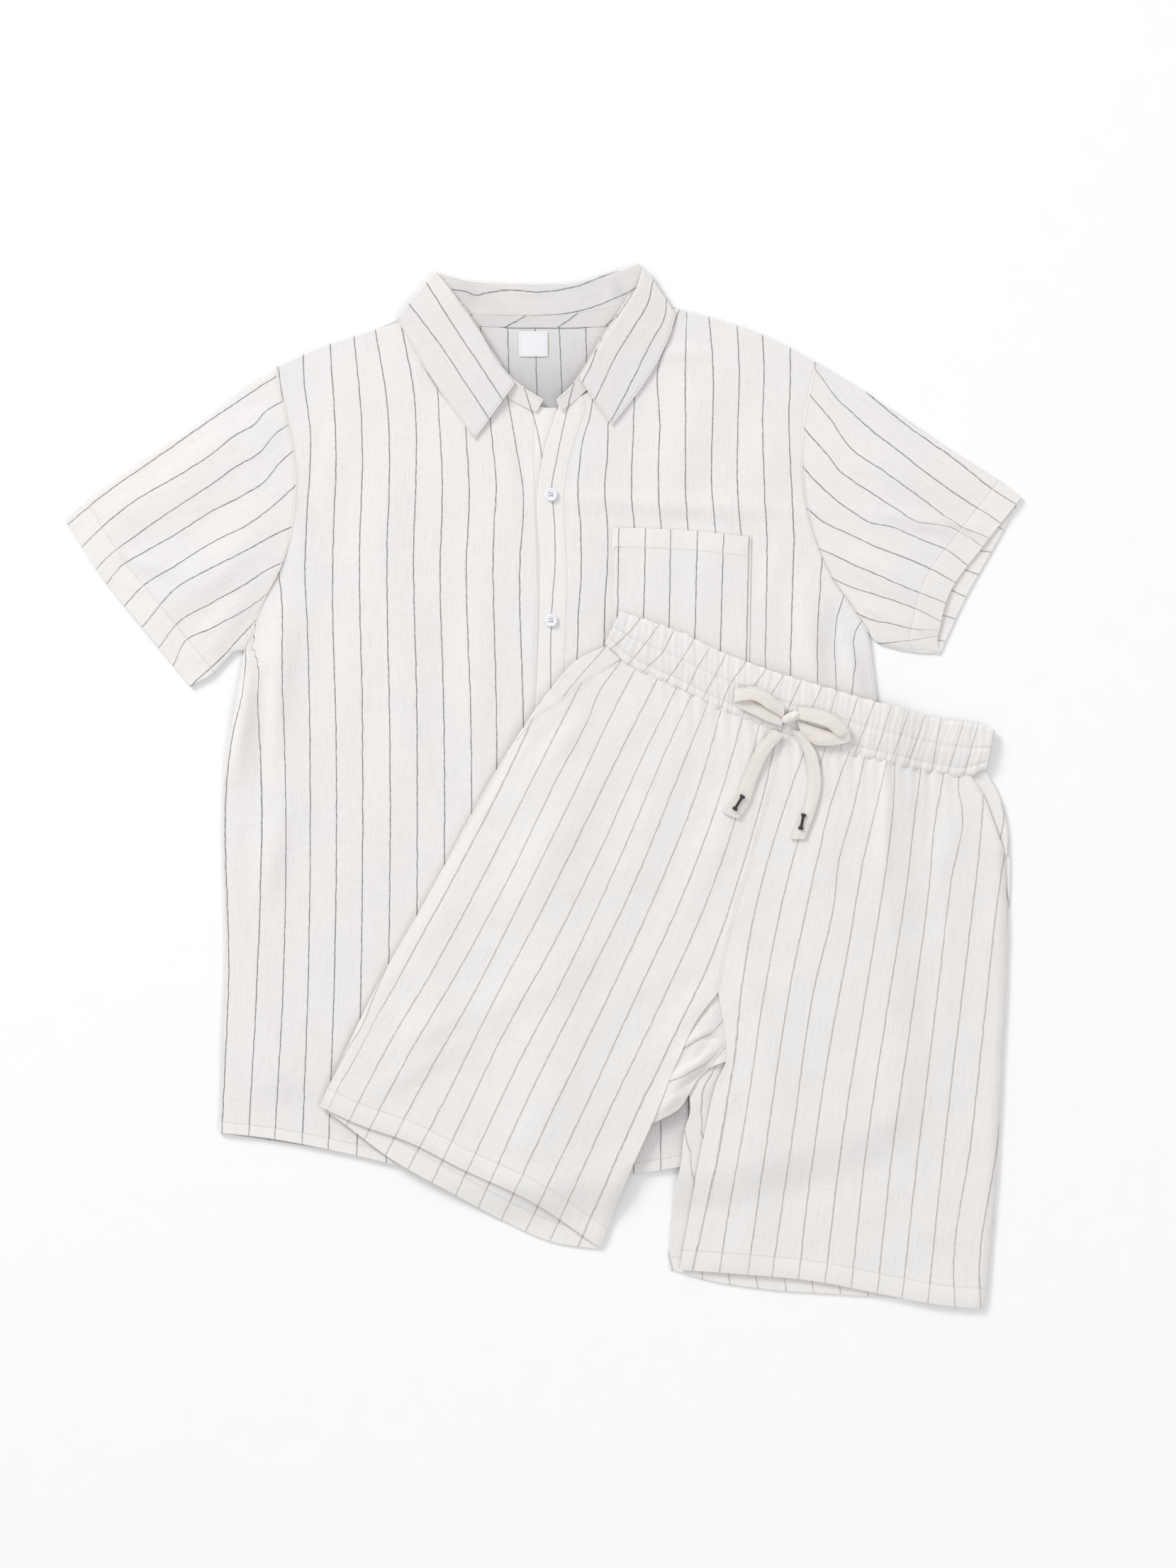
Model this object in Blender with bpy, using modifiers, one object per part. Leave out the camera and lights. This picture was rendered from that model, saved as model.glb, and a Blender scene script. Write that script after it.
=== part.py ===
"""Pinstripe set: a short-sleeved button shirt laid flat with its drawstring shorts over the lower right.

Lengths are in millimetres, and leave the script in metres. +Y is the top of the photograph, +Z is up.
"""

import math

import bpy
import numpy as np

MM = 0.001

# cloth
WALL = 1.2
SEAM = 0.3
BACK_MID = 0.6
FRONT_MID = 2.2
OVER_FRONT_STEP = 1.6
BAND_WALL = 1.0

# placket and buttons
BUTTON_X = 7.0
BUTTON_TOP_Y = 255.0
BUTTON_PITCH = 110.0
BUTTON_COUNT = 5
BUTTON_SHOWN = 2
BUTTON_RADIUS = 5.8
BUTTON_THICK = 2.2
BUTTON_HOLE_RADIUS = 0.9
BUTTON_HOLE_OFFSET = 1.5
OVERLAP_FROM_X = 24.0
OVERLAP_TO_X = 85.0

# shorts lying on the shirt
SHIRT_STACK = 5.6
SHIRT_RIGHT_X = 300.0
HEM_LOW_Y = -344.0
HEM_CENTRE_X = 4.0
HEM_RISE = 0.0006
SETTLE = 42.0
BUTTON_RIDGE = 3.0
BUTTON_RIDGE_WIDTH = 42.0
LEG_GAP = 3.2
SHORTS_EDGE_X = (-195, -20, 57, 150, 300)
SHORTS_EDGE_Y = (-280, 45, 130, 95, 45)
SHORTS_EDGE_EASE = 30.0

FACING_WALL = 0.8
FACING_LIFT = 1.4
FACING_UNDER = 1.35
FACING_END_L = (406, -60)

# waistband
GATHERS = 28
GATHER_HEIGHT = 1.3
GATHER_STEPS = 4

# drawstring
TAPE_WALL = 1.0

X, Y = 0, 1
FROM_X, FROM_Y, TO_X, TO_Y, HALF_WIDTH, HEIGHT = range(6)

# Edges of the shirt, each a short run of points (X, Y)
SIDE_R = [(-283, -303), (-281, -230), (-278, -137), (-280, -44), (-278, 18), (-268, 74), (-261, 120)]
ARMHOLE_R = [(-261, 120), (-242, 166), (-228, 194), (-219, 228), (-216, 261), (-218, 293), (-224, 322), (-234, 366)]
SHOULDER_R = [(-234, 366), (-196, 383), (-153, 397), (-112, 409), (-73, 421)]
UNDER_EDGE = [(19, -344), (19, -150), (19, 60), (19, 180), (13, 240), (5, 290), (5, 328)]
NECK_R = [(5, 328), (-15, 337), (-33, 347), (-51, 364), (-63, 387), (-73, 421)]
HEM_R = [(-283, -303), (-239, -308), (-177, -320), (-109, -335), (-41, -343), (19, -344)]
SIDE_L = [(291, -289), (296, -180), (298, -56), (295, 37), (291, 80), (284, 136)]
ARMHOLE_L = [(284, 136), (269, 159), (254, 180), (241, 208), (231, 242), (227, 280), (228, 314), (239, 370)]
SHOULDER_L = [(78, 420), (116, 417), (145, 410), (182, 398), (216, 383), (239, 370)]
OVER_EDGE = [(-5, -344), (-5, -150), (-6, 60), (-2, 190), (-4, 260), (1, 291), (14, 332)]
NECK_L = [(14, 332), (26, 338), (40, 345), (55, 359), (69, 381), (78, 420)]
HEM_L = [(-5, -344), (58, -341), (120, -333), (207, -312), (291, -289)]
HEM_BACK = [(-283, -303), (-177, -320), (-109, -335), (4, -344), (120, -333), (207, -312), (291, -289)]
TOP_BACK = [(-234, 366), (-153, 397), (-73, 421), (-40, 402), (0, 400), (43, 402), (78, 420), (150, 408), (239, 370)]

# Edges of the sleeves
SLEEVE_TOP_R = [(-234, 366), (-264, 347), (-295, 322), (-351, 285), (-394, 254), (-418, 233)]
SLEEVE_CUFF_R = [(-309, 88), (-351, 140), (-382, 178), (-418, 233)]
SLEEVE_UNDER_R = [(-261, 120), (-268, 119), (-277, 111), (-289, 99), (-309, 88)]
SLEEVE_TOP_L = [(239, 370), (269, 352), (312, 324), (356, 294), (393, 271), (418.5, 253)]
SLEEVE_CUFF_BACK_L = [(347, 116), (368, 162), (393, 207), (418.5, 253)]
SLEEVE_CUFF_FRONT_L = [(345, 130), (355, 168), (384, 209), (417, 251)]
SLEEVE_UNDER_L = [(284, 136), (290, 127), (303, 122), (325, 118), (347, 117)]

# Collar, a row per section: the two ends of the section (X, Y) with the height of each
STAND_R = [
    (0, 338, 5.4, -6, 327, 4.2), (-13, 346, 5.8, -24, 336, 4.0), (-28, 358, 6.2, -42, 349, 3.9),
    (-43, 378, 6.4, -57, 369, 3.9), (-57, 401, 6.4, -68, 394, 3.9), (-72, 424, 6.4, -78, 414, 3.9),
]
STAND_BACK = [
    (-86, 442, 4.2, -62, 415, 3.0), (-66, 440, 4.0, -44, 406, 2.4), (-40, 437, 4.0, -24, 403, 2.2),
    (0, 437, 4.0, 0, 403, 2.2), (32, 439, 4.0, 26, 403, 2.2), (56, 446, 4.0, 46, 406, 2.4),
    (80, 453, 4.2, 66, 415, 3.0),
]
STAND_L = [
    (12, 338, 8.4, 16, 328, 7.2), (25, 350, 7.4, 34, 343, 5.4), (38, 369, 6.8, 50, 360, 4.9),
    (51, 391, 6.6, 62, 380, 4.4), (64, 411, 6.6, 74, 400, 4.1), (76, 430, 6.4, 84, 416, 4.0),
]
FALL_R = [
    (-25, 352, 7.8, -60, 304, 4.0), (-41, 372, 8.0, -78, 329, 4.0), (-55, 396, 8.0, -95, 352, 4.0),
    (-70, 418, 8.0, -108, 374, 4.0), (-82, 435, 7.4, -119, 394, 4.0), (-94, 449, 5.8, -128, 409, 3.9),
]
FALL_BACK = [
    (-90, 449, 2.6, -106, 430, 1.4), (-72, 443, 2.4, -76, 432, 0.8), (-40, 440, 2.4, -42, 409, 0.6),
    (0, 439, 2.4, 0, 408, 0.6), (34, 441, 2.4, 34, 409, 0.6), (61, 449, 2.4, 66, 432, 0.8),
    (84, 456.9, 2.6, 98, 434, 1.4),
]
FALL_L = [
    (32, 356, 8.4, 60, 316, 4.5), (43, 374, 8.4, 73, 332, 4.4), (56, 396, 8.2, 88, 352, 4.2),
    (71, 417, 8.2, 102, 375, 4.3), (83, 437, 7.6, 112, 398, 4.1), (88, 455, 5.8, 116, 413, 3.9),
]

# Chest pocket and label
POCKET_TOP = [(61, 226), (120, 224), (182, 218)]
POCKET_BOTTOM = [(58, 102), (119, 86), (180, 99)]
LABEL_LEFT, LABEL_RIGHT, LABEL_TOP, LABEL_BOTTOM = -21.0, 4.0, 398.0, 376.0

# Edges of the shorts
WAIST_SEAM_R = [(69, 110), (88, 100), (108, 92), (145, 74), (182, 58), (210, 48)]
WAIST_SEAM_L = [(210, 48), (244, 37), (281, 27), (331, 16), (373, 11)]
POCKET_EDGE_R = [(69, 110), (40, 94), (15, 75), (-7, 60), (-24, 40)]
OUTSEAM_R = [(-24, 40), (-53, -12), (-103, -101), (-146, -177), (-177, -241), (-195, -280)]
CENTRE = [(210, 48), (198, -7), (179, -75), (161, -137), (153, -180)]
INSEAM_R = [(153, -180), (136, -202), (117, -241), (95, -295), (77, -335), (63, -370), (50, -404)]
FRONT_HEM_R = [(-195, -280), (-165, -294), (-115, -312), (-72, -334), (-10, -363), (50, -404)]
POCKET_EDGE_L = [(373, 11), (386, -10), (393, -29), (399, -46), (404, -60)]
OUTSEAM_L = [(404, -60), (406, -137), (402, -230), (397, -329), (391, -410), (386, -457)]
INSEAM_L = [(153, -180), (159, -218), (161, -236), (151, -261), (144, -292), (138, -320), (130, -366), (120, -423)]
FRONT_HEM_L = [(120, -423), (176, -427), (238, -433), (300, -445), (350, -454), (386, -457)]
BACK_WAIST_R = [(57, 123), (108, 92), (145, 74), (182, 58), (210, 48)]
BACK_SIDE_R = [(57, 123), (30, 110), (6, 83), (-24, 40), (-103, -101), (-146, -177), (-195, -280)]
BACK_HEM_R = [(-195, -280), (-174, -295), (-137, -323), (-72, -360), (-35, -380), (9, -399), (50, -405)]
BACK_INSEAM_R = [(153, -180), (136, -204), (113, -246), (92, -300), (77, -335), (63, -370), (50, -405)]
BACK_WAIST_L = [(210, 48), (244, 37), (281, 27), (331, 16), (386, 15)]
BACK_SIDE_L = [(386, 15), (398, -7), (406, -40), (406, -137), (402, -230), (391, -410), (386, -457)]
BACK_HEM_L = [(112, -429), (145, -438), (188, -444), (269, -448), (331, -451), (386, -457)]
BACK_INSEAM_L = [(153, -180), (138, -212), (118, -254), (99, -292), (124, -301), (119, -345), (111, -391), (112, -429)]

# Waistband, a row per section along it: its top edge and its bottom edge
BAND = [
    (68, 152, 56, 127), (84, 147, 75, 110), (102, 141, 98, 99), (123, 133, 122, 88), (145, 122, 146, 76),
    (195, 102, 188, 59), (244, 87, 240, 41), (300, 71, 294, 27), (356, 57, 343, 16), (380, 54, 372, 13),
    (394, 50, 388, 18),
]

# Folds, a row per fold: from, to, half its width, its height (a trough is below zero)
SHIRT_FOLDS = [
    (-257, 108, -269, 10, 9, 4.5), (-228, 150, -236, 40, 14, 3.5), (-222, 300, -214, 200, 12, 1.5),
    (-230, -25, -242, -95, 11, 2.2), (-250, -200, -225, -290, 20, 2.4), (-180, -150, -170, -300, 26, 1.6),
    (-140, 250, -120, 20, 24, 1.6), (-60, 210, -50, -60, 20, 1.4), (262, 128, 279, 74, 9, 5.0),
    (228, 170, 238, 90, 13, 3.4), (21, 250, 226, 241, 7, 1.2), (102, 378, 145, 379, 6, 1.0),
    (150, 360, 120, 260, 22, 1.6), (200, 330, 190, 240, 18, 1.6),
]
SLEEVE_FOLDS = [
    (-363, 204, -332, 192, 7, 1.3), (-250, 320, -380, 225, 20, 1.8), (-245, 225, -340, 150, 18, 1.8),
    (-258, 165, -300, 120, 11, 1.8), (262, 300, 350, 255, 20, 1.6), (294, 240, 378, 218, 9, 1.6),
    (262, 205, 340, 165, 14, 2.0), (275, 160, 335, 130, 9, 1.8),
]
SHORTS_FOLDS = [
    (-165, -261, -41, -187, 15, 2.4), (-41, -187, 58, -137, 15, 2.4), (60, 40, -40, -130, 22, 1.8),
    (130, 60, 60, -110, 20, 1.6), (180, 30, 120, -130, 16, 1.4), (304, 24, 297, -87, 7, 3.0),
    (250, 20, 235, -120, 20, 1.6), (350, -10, 352, -180, 22, 1.8), (319, -384, 362, -394, 7, 1.2),
    (210, -180, 180, -400, 26, 2.0), (330, -190, 320, -330, 28, 1.6), (-90, -150, -120, -270, 20, 1.6),
    (20, -220, -20, -330, 24, 1.6), (165, -120, 200, -230, 12, 2.0), (148, -170, 105, -235, 10, 1.8),
]
CROTCH_FOLDS = [
    (150, -200, 104, -285, 7, 2.2), (156, -218, 122, -262, 5, 1.8), (158, -236, 128, -284, 6, 2.4),
    (140, -205, 112, -245, 4, 1.4),
]

# Drawstring, a row per section of tape: one edge (X, Y), the other edge (X, Y), height above the fronts
LOOP_L = [
    (224, 69, 223.3, 59, 7.4), (240, 67, 238, 55, 8.8), (256, 61, 249, 51, 9.2), (266, 51, 257, 44, 8.4),
    (268, 46, 260, 43, 7.0), (265, 38, 259, 44, 5.6), (240, 36, 238, 44, 5.1), (226, 46, 222, 54, 5.2),
]
LOOP_R = [
    (209.7, 60, 211, 70, 7.4), (196, 68, 200, 79, 8.8), (184, 75, 187, 86, 9.2), (171, 74, 171, 85, 8.4),
    (168, 73, 168, 83, 7.0), (171, 69, 172, 79, 5.6), (194, 58, 197, 67, 5.1), (208, 53, 209.7, 59, 5.2),
]
TAIL_R = [
    (201, 49, 211, 45, 4.2), (186, 32, 197, 28, 3.4), (175, 7, 186, 3, 2.2), (167, -10, 180, -15, 1.9),
    (157, -23, 171, -29, 1.9),
]
TAIL_L = [
    (217, 49, 227, 47, 4.2), (228, 30, 239, 28, 3.4), (232, 4, 243, 4, 2.2), (228, -20, 239, -18, 1.9),
    (216, -46, 229, -46, 1.9),
]
KNOT_AT = (216.5, 60.0)
KNOT_SIZE = (13.0, 16.0, 7.0)
KNOT_HEIGHT = 7.9
THREAD_BARS = {"thread_bar_right": (175, -8, 167, -21), "thread_bar_left": (228, -24, 225, -38)}
THREAD_RADIUS = 1.1


def clear_scene():
    for obj in list(bpy.data.objects):
        bpy.data.objects.remove(obj, do_unlink=True)


def smooth(value):
    """Eases 0 to 1."""
    value = np.clip(value, 0.0, 1.0)
    return value * value * (3.0 - 2.0 * value)


def through(rows, count, even=True):
    """A smooth line through the rows, cut into count equal lengths or else equal shares of the rows."""
    rows = np.array(rows, float)
    lengths = np.linalg.norm(np.diff(rows[:, :2], axis=0), axis=1)
    knots = np.concatenate([[0.0], np.cumsum(lengths if even else np.ones(len(lengths)))])
    slopes = np.gradient(rows, knots, axis=0)
    at = np.linspace(0.0, knots[-1], count + 1)
    left = np.clip(np.searchsorted(knots, at, side="right") - 1, 0, len(knots) - 2)
    span = (knots[left + 1] - knots[left])[:, None]
    t = (at - knots[left])[:, None] / span
    ease = t * t * (3.0 - 2.0 * t)
    lead = t * (1.0 - t) ** 2 * span
    trail = -t * t * (1.0 - t) * span
    return rows[left] * (1.0 - ease) + rows[left + 1] * ease + slopes[left] * lead + slopes[left + 1] * trail


def patch(bottom, top, left, right):
    """Points spread between four edges that meet at their ends."""
    u = np.linspace(0.0, 1.0, len(bottom))[None, :, None]
    v = np.linspace(0.0, 1.0, len(left))[:, None, None]
    across = (1 - u) * left[:, None, :] + u * right[:, None, :]
    along = (1 - v) * bottom[None, :, :] + v * top[None, :, :]
    corners = (1 - v) * ((1 - u) * bottom[0] + u * bottom[-1]) + v * ((1 - u) * top[0] + u * top[-1])
    return across + along - corners


def fold_height(x, y, table):
    """Height that the folds add at a place."""
    total = np.zeros_like(x)
    for row in table:
        length_x = row[TO_X] - row[FROM_X]
        length_y = row[TO_Y] - row[FROM_Y]
        share = ((x - row[FROM_X]) * length_x + (y - row[FROM_Y]) * length_y) / (length_x**2 + length_y**2)
        share = np.clip(share, 0.0, 1.0)
        away = np.hypot(x - row[FROM_X] - share * length_x, y - row[FROM_Y] - share * length_y)
        taper = 0.35 + 0.65 * np.sin(math.pi * np.clip(share, 0.02, 0.98))
        total = total + row[HEIGHT] * taper * np.exp(-((away / row[HALF_WIDTH]) ** 2))
    return total


def under_shorts(x, y):
    """1 where the shorts lie on the shirt, easing to 0 past its hem and its side."""
    hem = HEM_LOW_Y + HEM_RISE * (x - HEM_CENTRE_X) ** 2
    return smooth((y - hem + SETTLE) / SETTLE) * smooth((SHIRT_RIGHT_X + SETTLE - x) / SETTLE)


def shown(x, y):
    """0 under the shorts and 1 where the shirt shows."""
    edge = np.interp(x, SHORTS_EDGE_X, SHORTS_EDGE_Y)
    return smooth((y - edge + SHORTS_EDGE_EASE / 5) / SHORTS_EDGE_EASE)


def front_right_z(x, y):
    return FRONT_MID + fold_height(x, y, SHIRT_FOLDS) * shown(x, y)


def front_left_z(x, y):
    over = OVER_FRONT_STEP * (1.0 - smooth((x - OVERLAP_FROM_X) / (OVERLAP_TO_X - OVERLAP_FROM_X)))
    return front_right_z(x, y) + over


def shorts_back_z(x, y):
    ridge = BUTTON_RIDGE * np.exp(-(((x - BUTTON_X) / BUTTON_RIDGE_WIDTH) ** 2))
    return BACK_MID + (SHIRT_STACK + ridge) * under_shorts(x, y) + fold_height(x, y, CROTCH_FOLDS)


def shorts_front_z(x, y):
    return shorts_back_z(x, y) + LEG_GAP + fold_height(x, y, SHORTS_FOLDS)


def collection(name):
    found = bpy.data.collections.get(name)
    if found is None:
        found = bpy.data.collections.new(name)
        bpy.context.scene.collection.children.link(found)
    return found


def material(name, colour, roughness):
    mat = bpy.data.materials.new(name)
    mat.use_nodes = True
    shader = mat.node_tree.nodes["Principled BSDF"]
    shader.inputs["Base Color"].default_value = (*colour, 1.0)
    shader.inputs["Roughness"].default_value = roughness
    return mat


def shirt_cloth():
    return material("shirt_cloth", (0.86, 0.85, 0.83), 0.9)


def shorts_cloth():
    return material("shorts_cloth", (0.85, 0.83, 0.80), 0.9)


def tape_cloth():
    return material("tape_cloth", (0.82, 0.79, 0.73), 0.85)


def label_cloth():
    return material("label_cloth", (0.9, 0.9, 0.91), 0.6)


def button_resin():
    return material("button_resin", (0.82, 0.83, 0.88), 0.2)


def bar_thread():
    return material("bar_thread", (0.02, 0.02, 0.02), 0.8)


def mesh_object(name, points, faces, make_material, wall=0.0):
    """A mesh from millimetre points; a wall makes its sheet a closed solid."""
    mesh = bpy.data.meshes.new(name)
    mesh.from_pydata([tuple(p) for p in np.asarray(points) * MM], [], faces)
    mesh.polygons.foreach_set("use_smooth", [True] * len(mesh.polygons))
    obj = bpy.data.objects.new(name, mesh)
    collection("part").objects.link(obj)
    mesh.materials.append(make_material())
    if wall:
        solid = obj.modifiers.new("wall", "SOLIDIFY")
        solid.thickness = wall * MM
        solid.offset = 0.0
    return obj


def grid_faces(rows, columns, wrap=False):
    """Faces of a grid of points, wound to face up when columns run to the right and rows upward."""
    faces = []
    for r in range(rows - 1):
        for c in range(columns if wrap else columns - 1):
            d = (c + 1) % columns
            faces.append((r * columns + c, r * columns + d, (r + 1) * columns + d, (r + 1) * columns + c))
    return faces


def sheet(name, flat, height, make_material, wall=WALL):
    """A panel of cloth: flat points lifted by a height function."""
    rows, columns = flat.shape[:2]
    z = height(flat[:, :, X], flat[:, :, Y])
    points = np.dstack([flat, z]).reshape(-1, 3)
    return mesh_object(name, points, grid_faces(rows, columns), make_material, wall)


def joined(*runs):
    """Runs of points end to end, each as (rows, count)."""
    parts = [through(rows, count) for rows, count in runs]
    return np.vstack([parts[0]] + [part[1:] for part in parts[1:]])


def shirt_back():
    left = joined((SIDE_R, 10), (ARMHOLE_R, 8))
    right = joined((SIDE_L, 10), (ARMHOLE_L, 8))
    flat = patch(through(HEM_BACK, 18), through(TOP_BACK, 18), left, right)
    return sheet("shirt_back", flat, lambda x, y: np.full_like(x, BACK_MID), shirt_cloth)


def shirt_front_right():
    left = joined((SIDE_R, 18), (ARMHOLE_R, 8))
    right = joined((UNDER_EDGE, 20), (NECK_R, 6))
    flat = patch(through(HEM_R, 15), through(SHOULDER_R, 15), left, right)
    return sheet("shirt_front_right", flat, front_right_z, shirt_cloth)


def shirt_front_left():
    left = joined((OVER_EDGE, 20), (NECK_L, 6))
    right = joined((SIDE_L, 18), (ARMHOLE_L, 8))
    flat = patch(through(HEM_L, 15), through(SHOULDER_L, 15), left, right)
    return sheet("shirt_front_left", flat, front_left_z, shirt_cloth)


def sleeve(name, armhole, top, under, cuff_front, cuff_back, outward):
    """A flattened tube of cloth from armhole to cuff, open at both ends."""
    across, along = 8, 9
    arm = through(armhole, across)
    arm = arm + np.array([outward * (SEAM + 0.4), 0.0])
    edges = []
    for cuff in (cuff_front, cuff_back):
        low = through(under, along)
        high = through(top, along)
        end = through(cuff, across)
        low = low + np.linspace(0, 1, along + 1)[:, None] * (end[0] - low[-1])
        high = high + np.linspace(0, 1, along + 1)[:, None] * (end[-1] - high[-1])
        low = low + np.linspace(1, 0, along + 1)[:, None] * (arm[0] - low[0])
        high = high + np.linspace(1, 0, along + 1)[:, None] * (arm[-1] - high[0])
        edges.append(patch(arm, end, low, high))
    front, back = edges
    half = (FRONT_MID - BACK_MID) / 2
    middle = (FRONT_MID + BACK_MID) / 2
    rings = []
    for r in range(along + 1):
        upper = front[r]
        lower = back[r]
        lift = fold_height(upper[:, X], upper[:, Y], SLEEVE_FOLDS)
        share = np.linspace(0, 1, across + 1)
        open_up = 1.8 * np.sin(math.pi * share) * math.sin(math.pi * min(1.0, 0.25 + 0.75 * r / along))
        ring = [(*p, FRONT_MID + z) for p, z in zip(upper, lift + open_up)]
        step = (upper[-1] - upper[-2]) / np.linalg.norm(upper[-1] - upper[-2])
        ring.append((*((upper[-1] + lower[-1]) / 2 + step * half), middle))
        ring += [(*p, BACK_MID) for p in lower[::-1]]
        step = (upper[0] - upper[1]) / np.linalg.norm(upper[0] - upper[1])
        ring.append((*((upper[0] + lower[0]) / 2 + step * half), middle))
        rings.append(ring)
    columns = len(rings[0])
    faces = grid_faces(len(rings), columns, wrap=True)
    if outward > 0:
        faces = [face[::-1] for face in faces]
    return mesh_object(name, np.array(rings).reshape(-1, 3), faces, shirt_cloth, WALL)


def collar_strip(name, table, steps, ribs, runs_right):
    """A band of the collar, ruled between its inner and its outer edge."""
    rows = through(table, steps)
    share = np.linspace(0, 1, ribs + 1)[None, :, None]
    points = rows[:, None, :3] * (1 - share) + rows[:, None, 3:] * share
    if not runs_right:
        points = points[::-1]
    return mesh_object(name, points.reshape(-1, 3), grid_faces(steps + 1, ribs + 1), shirt_cloth, BAND_WALL)


def chest_pocket():
    bottom = through(POCKET_BOTTOM, 8)
    top = through(POCKET_TOP, 8)
    left = through([POCKET_BOTTOM[0], POCKET_TOP[0]], 8)
    right = through([POCKET_BOTTOM[-1], POCKET_TOP[-1]], 8)
    flat = patch(bottom, top, left, right)
    return sheet("chest_pocket", flat, lambda x, y: front_left_z(x, y) + WALL + 2 * SEAM, shirt_cloth)


def neck_label():
    low, high = (LABEL_LEFT, LABEL_BOTTOM), (LABEL_RIGHT, LABEL_TOP)
    xs = np.linspace(low[X], high[X], 3)
    ys = np.linspace(low[Y], high[Y], 3)
    flat = np.dstack(np.meshgrid(xs, ys))
    lift = BACK_MID + WALL / 2 + SEAM + 0.25
    return sheet("neck_label", flat, lambda x, y: np.full_like(x, lift), label_cloth, 0.5)


def cylinder(name, radius, depth, at, sides, home):
    """A plain upright cylinder."""
    bpy.ops.mesh.primitive_cylinder_add(
        vertices=sides, radius=radius * MM, depth=depth * MM, location=[v * MM for v in at]
    )
    obj = bpy.context.object
    obj.name = name
    for group in list(obj.users_collection):
        group.objects.unlink(obj)
    collection(home).objects.link(obj)
    return obj


def button(number):
    y = BUTTON_TOP_Y - BUTTON_PITCH * (number - 1)
    place = (np.array([BUTTON_X]), np.array([y]))
    z = float(front_left_z(*place)[0]) + WALL / 2 + SEAM + 0.15 + BUTTON_THICK / 2
    obj = cylinder(f"button_{number}", BUTTON_RADIUS, BUTTON_THICK, (BUTTON_X, y, z), 20, "part")
    obj.data.materials.append(button_resin())
    if number > BUTTON_SHOWN:
        return
    for index in range(4):
        angle = math.pi / 4 + index * math.pi / 2
        x_at = BUTTON_X + BUTTON_HOLE_OFFSET * math.cos(angle)
        y_at = y + BUTTON_HOLE_OFFSET * math.sin(angle)
        drill = cylinder(f"drill_{number}_{index}", BUTTON_HOLE_RADIUS, 3 * BUTTON_THICK, (x_at, y_at, z), 8, "helpers")
        drill.hide_render = True
        drill.display_type = "WIRE"
        cut = obj.modifiers.new(f"hole_{index}", "BOOLEAN")
        cut.operation = "DIFFERENCE"
        cut.solver = "EXACT"
        cut.object = drill


def shorts_front_right():
    left = joined((POCKET_EDGE_R, 5), (OUTSEAM_R, 17))
    right = joined((CENTRE, 12), (INSEAM_R, 10))
    flat = patch(through(WAIST_SEAM_R, 12), through(FRONT_HEM_R, 12), left, right)[::-1]
    return sheet("shorts_front_right", flat, shorts_front_z, shorts_cloth)


def past_centre(inseam, count):
    """The left half's inner edge, a seam's gap from the right half's above the crotch."""
    edge = joined((CENTRE, 12), (inseam, count))
    shares = smooth(np.concatenate([np.ones(13), np.linspace(0.8, 0.0, count)]))
    return edge + np.array([SEAM + 0.4, 0.0]) * shares[:, None]


def shorts_front_left():
    left = past_centre(INSEAM_L, 12)
    right = joined((POCKET_EDGE_L, 4), (OUTSEAM_L, 20))
    flat = patch(through([left[0]] + WAIST_SEAM_L[1:], 12), through(FRONT_HEM_L, 12), left, right)[::-1]
    return sheet("shorts_front_left", flat, shorts_front_z, shorts_cloth)


def shorts_back_right():
    left = through(BACK_SIDE_R, 18)
    right = joined((CENTRE, 12), (BACK_INSEAM_R, 6))
    flat = patch(through(BACK_WAIST_R, 9), through(BACK_HEM_R, 9), left, right)[::-1]
    return sheet("shorts_back_right", flat, shorts_back_z, shorts_cloth)


def shorts_back_left():
    left = past_centre(BACK_INSEAM_L, 14)
    right = through(BACK_SIDE_L, 26)
    flat = patch(through([left[0]] + BACK_WAIST_L[1:], 10), through(BACK_HEM_L, 10), left, right)[::-1]
    return sheet("shorts_back_left", flat, shorts_back_z, shorts_cloth)


def band_z(share, lower):
    """Height of the gathers along the waistband."""
    wave = np.sin(share * GATHERS * 2 * math.pi) + 0.35 * np.sin(share * GATHERS * 0.63 * 2 * math.pi)
    return GATHER_HEIGHT * 0.5 * wave * (0.75 + 0.25 * lower)


def waistband(name, lift, gathered, steps, depth_from, depth_to):
    """One side of the waistband, a strip between its top and its bottom edge."""
    rows = through(BAND, steps)
    share = np.linspace(0, 1, steps + 1)[:, None]
    ribs = np.linspace(depth_from, depth_to, 4)[None, :]
    x = rows[:, None, 0] * (1 - ribs) + rows[:, None, 2] * ribs
    y = rows[:, None, 1] * (1 - ribs) + rows[:, None, 3] * ribs
    z = shorts_back_z(x, y) + lift
    if gathered:
        z = z + band_z(share, ribs) + 1.4 * np.sin(math.pi * ribs)
    points = np.dstack([x, y, z])[:, ::-1]
    return mesh_object(name, points.reshape(-1, 3), grid_faces(steps + 1, 4)[::-1], shorts_cloth, WALL)


def pocket_facing(name, outer, opening, steps):
    """The strip of back pocket cloth that shows outside the slanted opening."""
    far = through(outer, steps)
    near = through(opening, steps)
    share = np.linspace(0, FACING_UNDER, 4)[None, :, None]
    flat = far[:, None, :] * (1 - share) + near[:, None, :] * share
    return sheet(name, flat, lambda x, y: shorts_back_z(x, y) + FACING_LIFT, shorts_cloth, FACING_WALL)


def tape(name, table, steps):
    """A length of flat tape, a row per section."""
    rows = through(table, steps, even=False)
    share = np.linspace(0, 1, 3)[None, :, None]
    flat = rows[:, None, 0:2] * (1 - share) + rows[:, None, 2:4] * share
    z = shorts_front_z(flat[:, :, X], flat[:, :, Y]) + rows[:, 4][:, None]
    points = np.dstack([flat, z]).reshape(-1, 3)
    return mesh_object(name, points, grid_faces(steps + 1, 3), tape_cloth, TAPE_WALL)


def front_z_at(x, y):
    return float(shorts_front_z(np.array([float(x)]), np.array([float(y)]))[0])


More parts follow.
